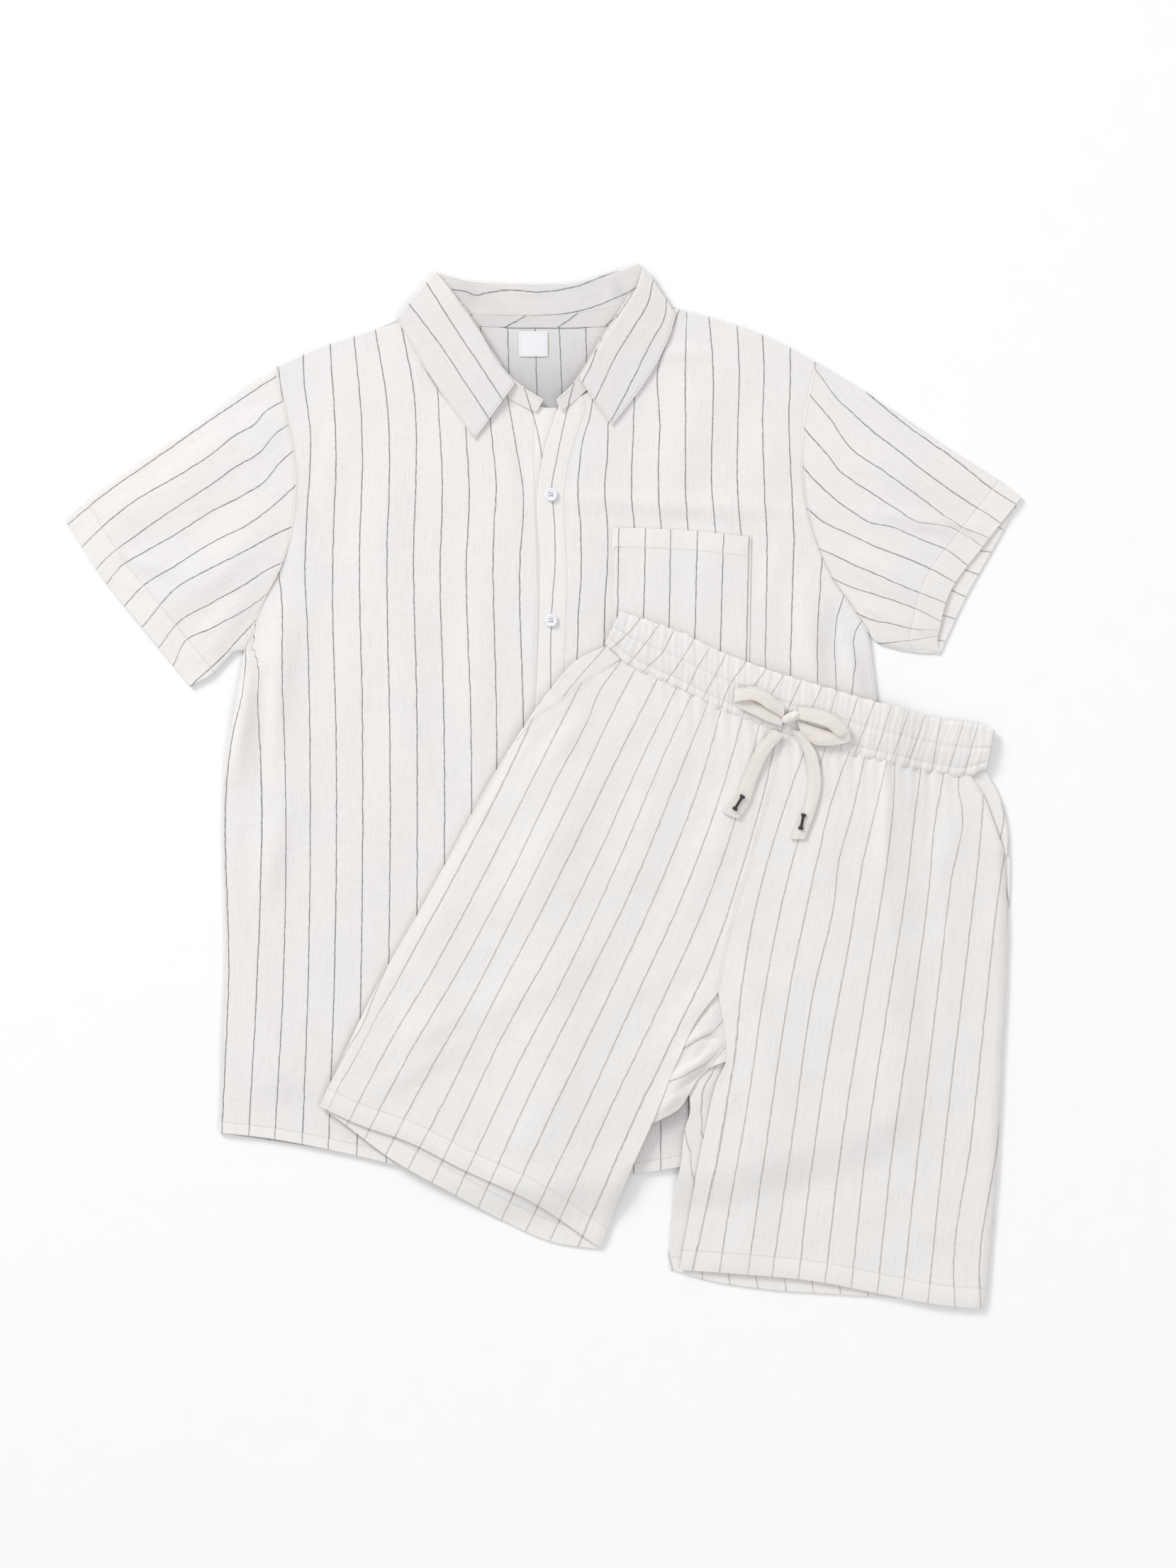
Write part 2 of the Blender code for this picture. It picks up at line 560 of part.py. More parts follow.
def knot():
    bpy.ops.mesh.primitive_uv_sphere_add(segments=16, ring_count=8, radius=0.5 * MM)
    obj = bpy.context.object
    obj.name = "drawstring_knot"
    for group in list(obj.users_collection):
        group.objects.unlink(obj)
    collection("part").objects.link(obj)
    z = front_z_at(*KNOT_AT) + KNOT_HEIGHT
    for vertex in obj.data.vertices:
        vertex.co = [vertex.co[i] * KNOT_SIZE[i] + ((*KNOT_AT, z)[i]) * MM for i in range(3)]
    obj.data.polygons.foreach_set("use_smooth", [True] * len(obj.data.polygons))
    obj.data.materials.append(tape_cloth())


def thread_bar(name, row):
    """A short bar of dark thread that holds the folded end of the tape."""
    start = np.array(row[:2], float)
    end = np.array(row[2:], float)
    middle = (start + end) / 2
    run = end - start
    z = front_z_at(*middle) + TAIL_R[-1][4] + TAPE_WALL / 2 + SEAM + THREAD_RADIUS
    bpy.ops.mesh.primitive_cylinder_add(vertices=8, radius=THREAD_RADIUS * MM, depth=np.linalg.norm(run) * MM)
    obj = bpy.context.object
    obj.name = name
    for group in list(obj.users_collection):
        group.objects.unlink(obj)
    collection("part").objects.link(obj)
    heading = math.atan2(run[Y], run[X])
    for vertex in obj.data.vertices:
        along, side, up = vertex.co.z, vertex.co.y, vertex.co.x
        vertex.co = (
            middle[X] * MM + along * math.cos(heading) - side * math.sin(heading),
            middle[Y] * MM + along * math.sin(heading) + side * math.cos(heading),
            z * MM + up,
        )
    obj.data.flip_normals()
    obj.data.polygons.foreach_set("use_smooth", [True] * len(obj.data.polygons))
    obj.data.materials.append(bar_thread())


def build_shirt():
    shirt_back()
    shirt_front_right()
    shirt_front_left()
    sleeve("sleeve_right", ARMHOLE_R, SLEEVE_TOP_R, SLEEVE_UNDER_R, SLEEVE_CUFF_R, SLEEVE_CUFF_R, -1)
    sleeve("sleeve_left", ARMHOLE_L, SLEEVE_TOP_L, SLEEVE_UNDER_L, SLEEVE_CUFF_FRONT_L, SLEEVE_CUFF_BACK_L, 1)
    collar_strip("collar_stand_right", STAND_R, 12, 2, False)
    collar_strip("collar_stand_back", STAND_BACK, 16, 2, True)
    collar_strip("collar_stand_left", STAND_L, 12, 2, True)
    collar_strip("collar_fall_right", FALL_R, 14, 4, False)
    collar_strip("collar_fall_back", FALL_BACK, 16, 2, True)
    collar_strip("collar_fall_left", FALL_L, 14, 4, True)
    chest_pocket()
    neck_label()
    for number in range(1, BUTTON_COUNT + 1):
        button(number)


def build_shorts():
    shorts_back_right()
    shorts_back_left()
    shorts_front_right()
    shorts_front_left()
    waistband("waistband_back", 0.0, False, 30, 0.0, 0.93)
    waistband("waistband_front", LEG_GAP + 1.4, True, GATHERS * GATHER_STEPS, 0.06, 0.97)
    pocket_facing("pocket_facing_right", BACK_SIDE_R[:4], POCKET_EDGE_R, 8)
    pocket_facing("pocket_facing_left", [*BACK_SIDE_L[:3], FACING_END_L], POCKET_EDGE_L, 6)


def build_drawstring():
    tape("drawstring_loop_right", LOOP_R, 28)
    tape("drawstring_loop_left", LOOP_L, 28)
    tape("drawstring_tail_right", TAIL_R, 12)
    tape("drawstring_tail_left", TAIL_L, 12)
    knot()
    for name, row in THREAD_BARS.items():
        thread_bar(name, row)


def main():
    clear_scene()
    build_shirt()
    build_shorts()
    build_drawstring()


main()
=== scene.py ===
"""Looks of the pinstripe shirt and shorts set: thin cloth, tape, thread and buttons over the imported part.

Lengths are in millimetres, and become metres where a mesh is made. +Y is the top of the photograph, +Z is up.
"""

import math

import bpy
import numpy as np
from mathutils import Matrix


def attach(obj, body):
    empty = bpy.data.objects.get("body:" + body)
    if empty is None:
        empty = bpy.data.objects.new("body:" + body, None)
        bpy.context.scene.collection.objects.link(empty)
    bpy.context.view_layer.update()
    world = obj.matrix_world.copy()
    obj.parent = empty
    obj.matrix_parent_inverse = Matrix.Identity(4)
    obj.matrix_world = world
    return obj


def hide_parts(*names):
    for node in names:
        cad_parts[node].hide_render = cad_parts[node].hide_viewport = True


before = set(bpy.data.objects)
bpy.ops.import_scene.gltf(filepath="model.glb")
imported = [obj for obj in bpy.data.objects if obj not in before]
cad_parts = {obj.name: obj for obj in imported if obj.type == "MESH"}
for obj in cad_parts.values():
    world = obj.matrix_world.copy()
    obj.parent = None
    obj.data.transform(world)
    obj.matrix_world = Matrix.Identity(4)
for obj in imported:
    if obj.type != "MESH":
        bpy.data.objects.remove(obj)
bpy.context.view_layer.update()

MM = 0.001
X, Y = 0, 1

# the photograph: its pixel size in millimetres, and the pixel of the frame's origin
PIXEL = 0.62
ORIGIN_AT = (766, 1109)
PHOTO_SIZE = (1659, 2212)
STRIPE_PITCH = 23.0

# cloth, as in the part's source
BACK_MID = 0.6
FRONT_MID = 2.2
OVER_FRONT_STEP = 1.6
SHEET = 0.9
BAND_SHEET = 0.9

BUTTON_X = 7.0
BUTTON_TOP_Y = 255.0
BUTTON_PITCH = 110.0
BUTTON_COUNT = 5
BUTTON_SHOWN = 2
BUTTON_RADIUS = 5.8
BUTTON_THICK = 2.2
BUTTON_HOLE_RADIUS = 0.75
BUTTON_HOLE_OFFSET = 1.5
OVERLAP_FROM_X = 24.0
OVERLAP_TO_X = 85.0
SHIRT_HEM, PLACKET, CUFF_HEM = 9.0, 23.0, 24.0
POCKET_HEM, SHORTS_HEM = 17.0, 17.0
POCKET_LIFT = 1.8
DOWN = -90

SHIRT_STACK = 5.6
SHIRT_RIGHT_X = 300.0
HEM_LOW_Y = -344.0
HEM_CENTRE_X = 4.0
HEM_RISE = 0.0006
SETTLE = 42.0
STITCH_STEP, STITCH_LENGTH = 2.8, 2.0
WEAVE_PITCH = 0.9
FAR = 500.0
BUTTON_RIDGE = 3.0
BUTTON_RIDGE_WIDTH = 42.0
LEG_GAP = 3.2
SHORTS_EDGE_X = (-195, -20, 57, 150, 300)
SHORTS_EDGE_Y = (-280, 45, 130, 95, 45)
SHORTS_EDGE_EASE = 30.0

FACING_LIFT = 1.4
FACING_UNDER = 1.35
FACING_END_L = (406, -60)
GATHERS = 28
GATHER_HEIGHT = 1.3
GATHER_STEPS = 14
WAIST_PLEAT_DEPTH = 26.0

FROM_X, FROM_Y, TO_X, TO_Y, HALF_WIDTH, HEIGHT = range(6)

# Edges of the shirt, each a short run of points (X, Y)
SIDE_R = [(-283, -303), (-281, -230), (-278, -137), (-280, -44), (-278, 18), (-268, 74), (-261, 120)]
ARMHOLE_R = [
    (-261, 120), (-242, 166), (-228, 194), (-219, 228), (-216, 261), (-218, 293), (-224, 322), (-234, 366),
]
SHOULDER_R = [(-234, 366), (-196, 383), (-153, 397), (-112, 409), (-73, 421)]
UNDER_EDGE = [(19, -344), (19, -150), (19, 60), (19, 180), (17, 240), (15, 290), (15, 331)]
NECK_R = [(15, 331), (3, 331), (-15, 337), (-33, 347), (-51, 364), (-63, 387), (-73, 421)]
HEM_R = [(-283, -303), (-239, -308), (-177, -320), (-109, -335), (-41, -343), (19, -344)]
SIDE_L = [(291, -289), (296, -180), (298, -56), (295, 37), (291, 80), (284, 136)]
ARMHOLE_L = [(284, 136), (269, 159), (254, 180), (241, 208), (231, 242), (227, 280), (228, 314), (239, 370)]
SHOULDER_L = [(78, 420), (116, 417), (145, 410), (182, 398), (216, 383), (239, 370)]
OVER_EDGE = [(-5, -344), (-5, -150), (-6, 60), (-2, 190), (-4, 260), (1, 291), (14, 332)]
NECK_L = [(14, 332), (26, 338), (40, 345), (55, 359), (69, 381), (78, 420)]
HEM_L = [(-5, -344), (58, -341), (120, -333), (207, -312), (291, -289)]
HEM_BACK = [(-283, -303), (-177, -320), (-109, -335), (4, -344), (120, -333), (207, -312), (291, -289)]
TOP_BACK = [
    (-234, 366), (-153, 397), (-73, 421), (-40, 402), (0, 400), (43, 402), (78, 420), (150, 408), (239, 370),
]

# Edges of the sleeves
SLEEVE_TOP_R = [(-234, 366), (-264, 347), (-295, 322), (-351, 285), (-394, 254), (-418, 233)]
SLEEVE_CUFF_R = [(-309, 88), (-351, 140), (-382, 178), (-418, 233)]
SLEEVE_UNDER_R = [(-261, 120), (-268, 119), (-277, 111), (-289, 99), (-309, 88)]
SLEEVE_TOP_L = [(239, 370), (269, 352), (312, 324), (356, 294), (393, 271), (418.5, 253)]
SLEEVE_CUFF_BACK_L = [(347, 116), (368, 162), (393, 207), (418.5, 253)]
SLEEVE_CUFF_FRONT_L = [(345, 130), (355, 168), (384, 209), (417, 251)]
SLEEVE_UNDER_L = [(284, 136), (290, 127), (303, 122), (325, 118), (347, 117)]

# Collar, a row per section: the two ends of the section (X, Y) with the height of each
STAND_R = [
    (0, 338, 4.9, -6, 327, 3.5), (-13, 346, 5.4, -24, 336, 3.5), (-28, 358, 6.0, -42, 349, 3.7),
    (-43, 378, 6.4, -57, 369, 3.9), (-57, 401, 6.4, -68, 394, 3.9), (-72, 424, 6.4, -78, 414, 3.9),
]
STAND_BACK = [
    (-94, 434, 3.6, -80, 406, 1.8), (-86, 442, 4.2, -64, 407, 1.7), (-66, 440, 4.0, -46, 407, 1.6),
    (-40, 437, 4.0, -24, 407, 1.6), (0, 437, 4.0, 0, 407, 1.6), (32, 439, 4.0, 26, 407, 1.6),
    (56, 446, 4.0, 46, 407, 1.6), (80, 453, 4.2, 64, 408, 1.7), (90, 450, 3.6, 80, 407, 1.8),
]
STAND_L = [
    (12, 338, 7.6, 16, 328, 6.3), (25, 350, 7.0, 34, 343, 4.8), (38, 369, 6.8, 50, 360, 4.7),
    (51, 391, 6.6, 62, 380, 4.4), (64, 411, 6.6, 74, 400, 4.1), (76, 430, 6.4, 84, 416, 4.0),
]
FALL_R = [
    (-25, 352, 7.8, -60, 304, 4.0), (-41, 372, 8.0, -78, 329, 4.0), (-55, 396, 8.0, -95, 352, 4.0),
    (-70, 418, 8.0, -108, 374, 4.0), (-82, 435, 7.4, -119, 394, 4.0), (-94, 449, 5.8, -128, 409, 3.9),
]
FALL_BACK = [
    (-90, 449, 2.6, -106, 430, 1.4), (-72, 443, 2.4, -76, 432, 0.8), (-40, 440, 2.4, -42, 409, 0.6),
    (0, 439, 2.4, 0, 408, 0.6), (34, 441, 2.4, 34, 409, 0.6), (61, 449, 2.4, 66, 432, 0.8),
    (84, 456.9, 2.6, 98, 434, 1.4),
]
FALL_L = [
    (32, 356, 8.4, 60, 316, 4.5), (43, 374, 8.4, 73, 332, 4.4), (56, 396, 8.2, 88, 352, 4.2),
    (71, 417, 8.2, 102, 375, 4.3), (83, 437, 7.6, 112, 398, 4.1), (88, 455, 5.8, 116, 413, 3.9),
]

# Chest pocket and label
POCKET_TOP = [(61, 226), (120, 224), (182, 218)]
POCKET_BOTTOM = [(58, 102), (119, 86), (180, 99)]
LABEL_LEFT, LABEL_RIGHT, LABEL_TOP, LABEL_BOTTOM = -21.0, 4.0, 398.0, 376.0

# Edges of the shorts
WAIST_SEAM_R = [(69, 110), (88, 100), (108, 92), (145, 74), (182, 58), (210, 48)]
WAIST_SEAM_L = [(210, 48), (244, 37), (281, 27), (331, 16), (373, 11)]
POCKET_EDGE_R = [(69, 110), (40, 94), (15, 75), (-7, 60), (-24, 40)]
OUTSEAM_R = [(-24, 40), (-53, -12), (-103, -101), (-146, -177), (-177, -241), (-195, -280)]
CENTRE = [(210, 48), (198, -7), (179, -75), (161, -137), (153, -180)]
INSEAM_R = [(153, -180), (136, -202), (117, -241), (95, -295), (77, -335), (63, -370), (50, -404)]
FRONT_HEM_R = [(-195, -280), (-165, -294), (-115, -312), (-72, -334), (-10, -363), (50, -404)]
POCKET_EDGE_L = [(373, 11), (386, -10), (393, -29), (399, -46), (404, -60)]
OUTSEAM_L = [(404, -60), (406, -137), (402, -230), (397, -329), (391, -410), (386, -457)]
INSEAM_L = [
    (153, -180), (159, -218), (161, -236), (151, -261), (144, -292), (138, -320), (130, -366), (120, -423),
]
FRONT_HEM_L = [(120, -423), (176, -427), (238, -433), (300, -445), (350, -454), (386, -457)]
BACK_WAIST_R = [(57, 123), (108, 92), (145, 74), (182, 58), (210, 48)]
BACK_SIDE_R = [(57, 123), (30, 110), (6, 83), (-24, 40), (-103, -101), (-146, -177), (-195, -280)]
BACK_HEM_R = [(-195, -280), (-174, -295), (-137, -323), (-72, -360), (-35, -380), (9, -399), (50, -405)]
BACK_INSEAM_R = [(153, -180), (136, -204), (113, -246), (92, -300), (77, -335), (63, -370), (50, -405)]
BACK_WAIST_L = [(210, 48), (244, 37), (281, 27), (331, 16), (386, 15)]
BACK_SIDE_L = [(386, 15), (398, -7), (406, -40), (406, -137), (402, -230), (391, -410), (386, -457)]
BACK_HEM_L = [(112, -429), (145, -438), (188, -444), (269, -448), (331, -451), (386, -457)]
BACK_INSEAM_L = [
    (153, -180), (147, -205), (139, -236), (132, -255), (128, -267), (129, -283), (124, -302),
    (121, -329), (115, -360),
    (111, -394), (110, -422),
]

# The crumpled piece of the back between the legs, in photo places: its edges from the left leg's corner
GUSSET_BOTTOM = [(908, 1591), (935, 1578), (960, 1562), (973, 1541)]
GUSSET_TOP = [(1008, 1388), (1022, 1430), (1032, 1465), (1034, 1494)]
GUSSET_LEFT = [(908, 1591), (920, 1556), (940, 1506), (968, 1446), (994, 1412), (1008, 1388)]
GUSSET_RIGHT = [(973, 1541), (985, 1521), (1002, 1506), (1034, 1494)]
GUSSET_CREASES = [
    (114, -255, 156, -229, 4, 1.6), (117, -267, 145, -246, 3, -1.2), (125, -224, 146, -213, 3, 1.2),
    (139, -220, 156, -221, 2.5, -1.1), (145, -187, 153, -211, 3, 0.9), (104, -282, 122, -268, 4, 1.0),
    (128, -240, 150, -236, 3, -0.6),
]
GUSSET_STRIPES = [
    [(905, 1592), (935, 1579), (960, 1563), (975, 1542)],
    [(940, 1528), (975, 1512), (1000, 1497), (1022, 1474)],
    [(962, 1480), (990, 1464), (1004, 1457), (1022, 1436)],
]

# The strip inside the neck under the stand, in photo places
NECK_STRIP_TOP = [(650, 445), (668, 444), (692, 445), (744, 446), (800, 443), (838, 439), (886, 428)]
NECK_STRIP_BOTTOM = [(650, 457), (670, 459), (700, 460.5), (744, 461.5), (800, 461.5), (846, 460), (886, 457)]
NECK_STRIP_STRIPES = [
    [(642, 459), (668, 443)], [(713, 461.5), (743, 445)], [(787, 461.5), (813, 443)],
    [(856, 458), (882, 433)],
]

# Painted shade in the collar, a row each: from x and y, to x and y, half width, amount
COLLAR_PAINTED_SHADES = [
    (-72, 436, -56, 424, 9, 0.16), (-50, 428, -30, 412, 7, 0.06),
    (62, 444, 70, 424, 6, 0.14), (-4, 431, 50, 440, 3, 0.05),
]

# Painted shade on the shirt, a row each: from x and y, to x and y, half width, amount
SHIRT_PAINTED_SHADES = [
    (108, -262, 118, -318, 24, 0.26), (250, 160, 255, 86, 6, 0.13), (-180, -290, -130, -310, 16, 0.06),
]

# Waistband, a row per section along it: its top edge and its bottom edge
BAND = [
    (68, 152, 56, 127), (84, 147, 75, 110), (102, 141, 98, 99), (123, 133, 122, 88), (145, 122, 146, 76),
    (195, 102, 188, 59), (244, 87, 240, 41), (300, 71, 294, 27), (356, 57, 343, 16), (380, 54, 372, 13),
    (394, 50, 388, 18),
]

# Folds, a row per fold: from, to, half its width, its height (a trough is below zero)
SHIRT_FOLDS = [
    (-257, 108, -269, 10, 9, 4.5), (-228, 150, -236, 40, 14, 3.5), (-222, 300, -214, 200, 12, 1.5),
    (-230, -25, -242, -95, 11, 2.2), (-250, -200, -225, -290, 20, 2.4), (-180, -150, -170, -300, 26, 1.6),
    (-140, 250, -120, 20, 24, 1.6), (-60, 210, -50, -60, 20, 1.4), (262, 128, 279, 74, 9, 5.0),
    (228, 170, 238, 90, 13, 3.4), (21, 250, 226, 241, 7, 1.2), (102, 378, 145, 379, 6, 1.0),
    (150, 360, 120, 260, 22, 1.6), (200, 330, 190, 240, 18, 1.6),
]
SLEEVE_FOLDS = [
    (-363, 204, -332, 192, 7, 1.3), (-250, 320, -380, 225, 20, 1.8), (-245, 225, -340, 150, 18, 1.8),
    (-258, 165, -300, 120, 11, 1.8), (262, 300, 350, 255, 20, 1.6), (294, 240, 378, 218, 9, 1.6),
    (262, 205, 340, 165, 14, 2.0), (275, 160, 335, 130, 9, 1.8),
]
SHORTS_FOLDS = [
    (-165, -261, -41, -187, 15, 2.4), (-41, -187, 58, -137, 15, 2.4), (60, 40, -40, -130, 22, 1.8),
    (130, 60, 60, -110, 20, 1.6), (180, 30, 120, -130, 16, 1.4), (304, 24, 297, -87, 7, 2.0),
    (250, 20, 235, -120, 20, 1.6), (350, -10, 352, -180, 22, 1.8), (319, -384, 362, -394, 7, 1.2),
    (210, -180, 180, -400, 26, 2.0), (330, -190, 320, -330, 28, 1.6), (-90, -150, -120, -270, 20, 1.6),
    (20, -220, -20, -330, 24, 1.6), (165, -120, 200, -230, 12, 2.0), (148, -170, 105, -235, 10, 1.8),
]
CROTCH_FOLDS = [
    (150, -200, 104, -285, 7, 2.2), (156, -218, 122, -262, 5, 1.8), (158, -236, 128, -284, 6, 2.4),
    (140, -205, 112, -245, 4, 1.4),
]

# Finer creases that only the cloth shows
SHIRT_CREASES = [
    (-20, 300, -14, 225, 6, -0.7), (-40, 325, -22, 250, 7, 0.6), (-214, 215, -160, 168, 9, 0.7),
    (-212, 240, -176, 210, 7, -0.6), (-242, 96, -248, -10, 6, -1.4), (-236, 60, -206, -30, 8, 0.6),
    (-190, 330, -206, 250, 8, -0.5), (40, 300, 24, 214, 9, 0.6), (30, 238, 190, 226, 6, -0.6),
    (60, 236, 100, 232, 4, 0.5), (215, 230, 190, 150, 8, 0.6), (246, 140, 250, 80, 5, -1.4),
    (-110, 60, -90, -60, 16, 0.6), (-30, 120, -24, 10, 10, 0.5), (110, 392, 150, 386, 4, -0.4),
]
SLEEVE_CREASES = [
    (-372, 214, -340, 196, 4, -0.8), (-356, 196, -326, 184, 3, 0.8), (-368, 178, -338, 166, 4, 0.6),
    (-242, 300, -300, 262, 8, 0.5), (-246, 260, -296, 236, 7, -0.5), (-262, 198, -310, 160, 8, 0.6),
    (-270, 150, -304, 118, 5, -0.7), (-236, 340, -270, 322, 6, -0.4), (250, 250, 300, 228, 6, 0.6),
    (292, 232, 372, 212, 5, -0.9), (330, 236, 384, 226, 5, 0.6), (258, 226, 300, 196, 7, -0.6),
    (276, 186, 330, 158, 6, 0.6), (284, 150, 330, 134, 4, -0.7), (256, 330, 300, 306, 8, 0.4),
]
SHORTS_CREASES = [
    (-170, -262, -60, -204, 11, -1.5), (-66, -196, 50, -142, 10, -1.2), (-160, -276, -40, -208, 9, 0.8),
    (40, 70, 0, 10, 7, 0.7),
    (20, 64, -16, 20, 5, -0.7), (52, 92, 90, 60, 6, 0.7), (150, 40, 130, -30, 6, 0.5),
    (318, -382, 366, -394, 4, -0.7), (310, 20, 304, -60, 4, -0.6), (140, -150, 60, -190, 9, 0.6),
    (176, -160, 230, -200, 9, 0.6), (360, -20, 340, -110, 8, 0.6), (396, -90, 384, -200, 8, 0.7),
    (150, -240, 176, -330, 9, 0.6), (130, -400, 200, -410, 8, 0.5), (-60, -60, -100, -140, 10, 0.5),
]

# Drawstring, a row per section of tape: one edge (X, Y), the other edge (X, Y), height above the fronts
LOOP_L = [
    (224, 69, 223.3, 59, 7.4), (240, 67, 238, 55, 8.8), (256, 61, 249, 51, 9.2), (266, 51, 257, 44, 8.4),
    (268, 46, 260, 43, 7.0), (265, 38, 259, 45, 5.6), (240, 36, 239, 51, 5.1), (226, 45, 222, 57, 5.2),
]
LOOP_R = [
    (209.7, 60, 211, 70, 7.4), (196, 68, 200, 79, 8.8), (184, 75, 187, 86, 9.2), (171, 74, 171, 85, 8.4),
    (168, 73, 168, 83, 7.0), (171, 69, 172, 79, 5.6), (194, 58, 197, 67, 5.1), (208, 53, 209.7, 59, 5.2),
]
TAIL_R = [
    (201, 49, 211, 45, 4.2), (186, 32, 197, 28, 3.4), (175, 7, 186, 3, 2.2), (167, -10, 180, -15, 1.9),
    (157, -23, 171, -29, 1.9),
]
TAIL_L = [
    (217, 49, 227, 47, 4.2), (228, 30, 239, 28, 3.4), (232, 4, 243, 4, 2.2), (228, -20, 239, -18, 1.9),
    (216, -46, 229, -46, 1.9),
]
KNOT_AT = (216.5, 60.0)
KNOT_SIZE = (17.0, 8.6, 5.6)
KNOT_LEAN = 24.0
KNOT_HEIGHT = 7.5
THREAD_BARS = {"right": (175, -8, 167, -21), "left": (228, -24, 225, -38)}
THREAD_RADIUS = 1.1
TAPE_THICK = 1.0

# Stripes, each a run of places on the photograph in its pixels
FRONT_R_STRIPES = [
    [(346, 945), (342, 980), (330, 1030), (322, 1400), (313, 1595)],
    [(341, 892), (359, 925), (363, 1000), (366, 1040), (362, 1400), (351, 1595)],
    [(392, 518), (399, 568), (400, 700), (393, 808), (397, 840), (398, 960), (401, 1040), (399, 1400),
     (388, 1595)],
    [(428, 503), (429, 540), (437, 600), (432, 740), (430, 800), (434, 900), (437, 1040), (434, 1400),
     (427, 1595)],
    [(466, 492), (474, 640), (470, 760), (469, 830), (474, 1040), (471, 1400), (464, 1595)],
    [(500, 481), (509, 580), (511, 640), (507, 780), (511, 1000), (509, 1400), (504, 1595)],
    [(530, 471), (545, 560), (549, 690), (546, 760), (546, 830), (550, 1040), (545, 1595)],
    [(568, 470), (582, 540), (586, 700), (584, 750), (588, 1000), (586, 1595)],
    [(617, 548), (624, 700), (621, 790), (626, 1000), (624, 1595)],
    [(657, 605), (662, 700), (658, 790), (664, 1000), (662, 1595)],
    [(692, 595), (700, 690), (697, 740), (700, 1000), (700, 1595)],
    [(716, 560), (728, 630), (738, 690), (733, 800), (738, 1000), (738, 1595)],
    [(742, 555), (756, 600), (772, 720), (774, 1000), (775, 1595)],
]
FRONT_L_STRIPES = [
    [(800, 580), (793, 610), (785, 650), (778, 690), (781, 720), (783, 760), (783, 800), (779, 850),
     (777, 900), (777, 980), (777, 1650)],
    [(836, 566), (832, 590), (825, 610), (818, 650), (815, 690), (819, 740), (820, 800), (816, 870),
     (814, 930), (814, 1650)],
    [(862, 560), (858, 595), (857, 640), (853, 690), (857, 740), (857, 790), (853, 850), (852, 905),
     (852, 1650)],
    [(898, 500), (895, 560), (893, 620), (891, 700), (895, 745), (894, 1650)],
    [(938, 490), (932, 505), (931, 600), (929, 690), (933, 750), (932, 1650)],
    [(968, 462), (967, 520), (967, 600), (968, 710), (971, 752), (971, 1650)],
    [(1000, 448), (1005, 500), (1005, 700), (1010, 755), (1010, 1650)],
    [(1040, 460), (1043, 520), (1041, 600), (1041, 700), (1046, 757), (1046, 1650)],
    [(1075, 473), (1078, 520), (1076, 580), (1079, 700), (1082, 760), (1081, 850), (1079, 940), (1080, 1650)],
    [(1115, 495), (1115, 540), (1113, 580), (1115, 650), (1118, 710), (1120, 760), (1118, 830),
     (1115, 950), (1116, 1650)],
    [(1150, 510), (1150, 600), (1156, 720), (1160, 787), (1157, 830), (1154, 880), (1154, 965), (1153, 1650)],
    [(1190, 700), (1194, 790), (1190, 842), (1181, 870), (1178, 900), (1180, 970), (1188, 1650)],
    [(1226, 800), (1218, 872), (1207, 890), (1206, 940), (1204, 955), (1225, 1650)],
]
BACK_STRIPES = [
    *[[(x, 400), (x, 1600)] for x in (602, 640, 678)],
    *[[(x, 460), (x + bend, 560), (x + bend, 1600)] for x, bend in ((716, 3), (755, 3), (789, 4), (826, 3))],
    *[[(x, 400), (x + 2, 1600)] for x in (865, 903)],
]
POCKET_STRIPES = [
    [(above, 745), (below, 960)]
    for above, below in ((873, 870), (911, 906), (946, 943), (984, 979), (1021, 1015), (1057, 1052.5))
]
SLEEVE_R_STRIPES = [
    [(383, 535), (360, 550), (330, 570), (300, 590), (250, 625), (200, 660), (150, 695), (93, 742)],
    [(397, 567), (375, 580), (360, 598), (330, 615), (300, 640), (250, 672), (200, 700), (150, 738),
     (113, 774)],
    [(408, 598), (385, 615), (370, 635), (330, 660), (300, 682), (250, 715), (200, 750), (150, 788),
     (135, 804)],
    [(414, 635), (395, 652), (375, 678), (340, 700), (300, 720), (250, 752), (200, 780), (165, 803),
     (150, 823)],
    [(416, 685), (380, 718), (350, 740), (300, 765), (250, 797), (200, 828), (178, 852)],
    [(412, 743), (380, 758), (350, 775), (300, 800), (250, 828), (204, 881)],
    [(397, 795), (375, 805), (350, 822), (300, 850), (250, 880), (226, 911)],
    [(375, 840), (350, 858), (300, 885), (260, 905), (245, 937)],
    [(352, 884), (305, 935), (283, 955)],
]
CUFF_L_STRIPES = [
    [(1240, 590), (1411, 745), (1416, 748)], [(1200, 640), (1385, 777), (1399, 779)],
    [(1180, 690), (1358, 802), (1382, 811)], [(1170, 745), (1342, 832), (1363, 842)],
    [(1170, 800), (1324, 866), (1348, 873)], [(1190, 860), (1323, 903), (1332, 905)],
]
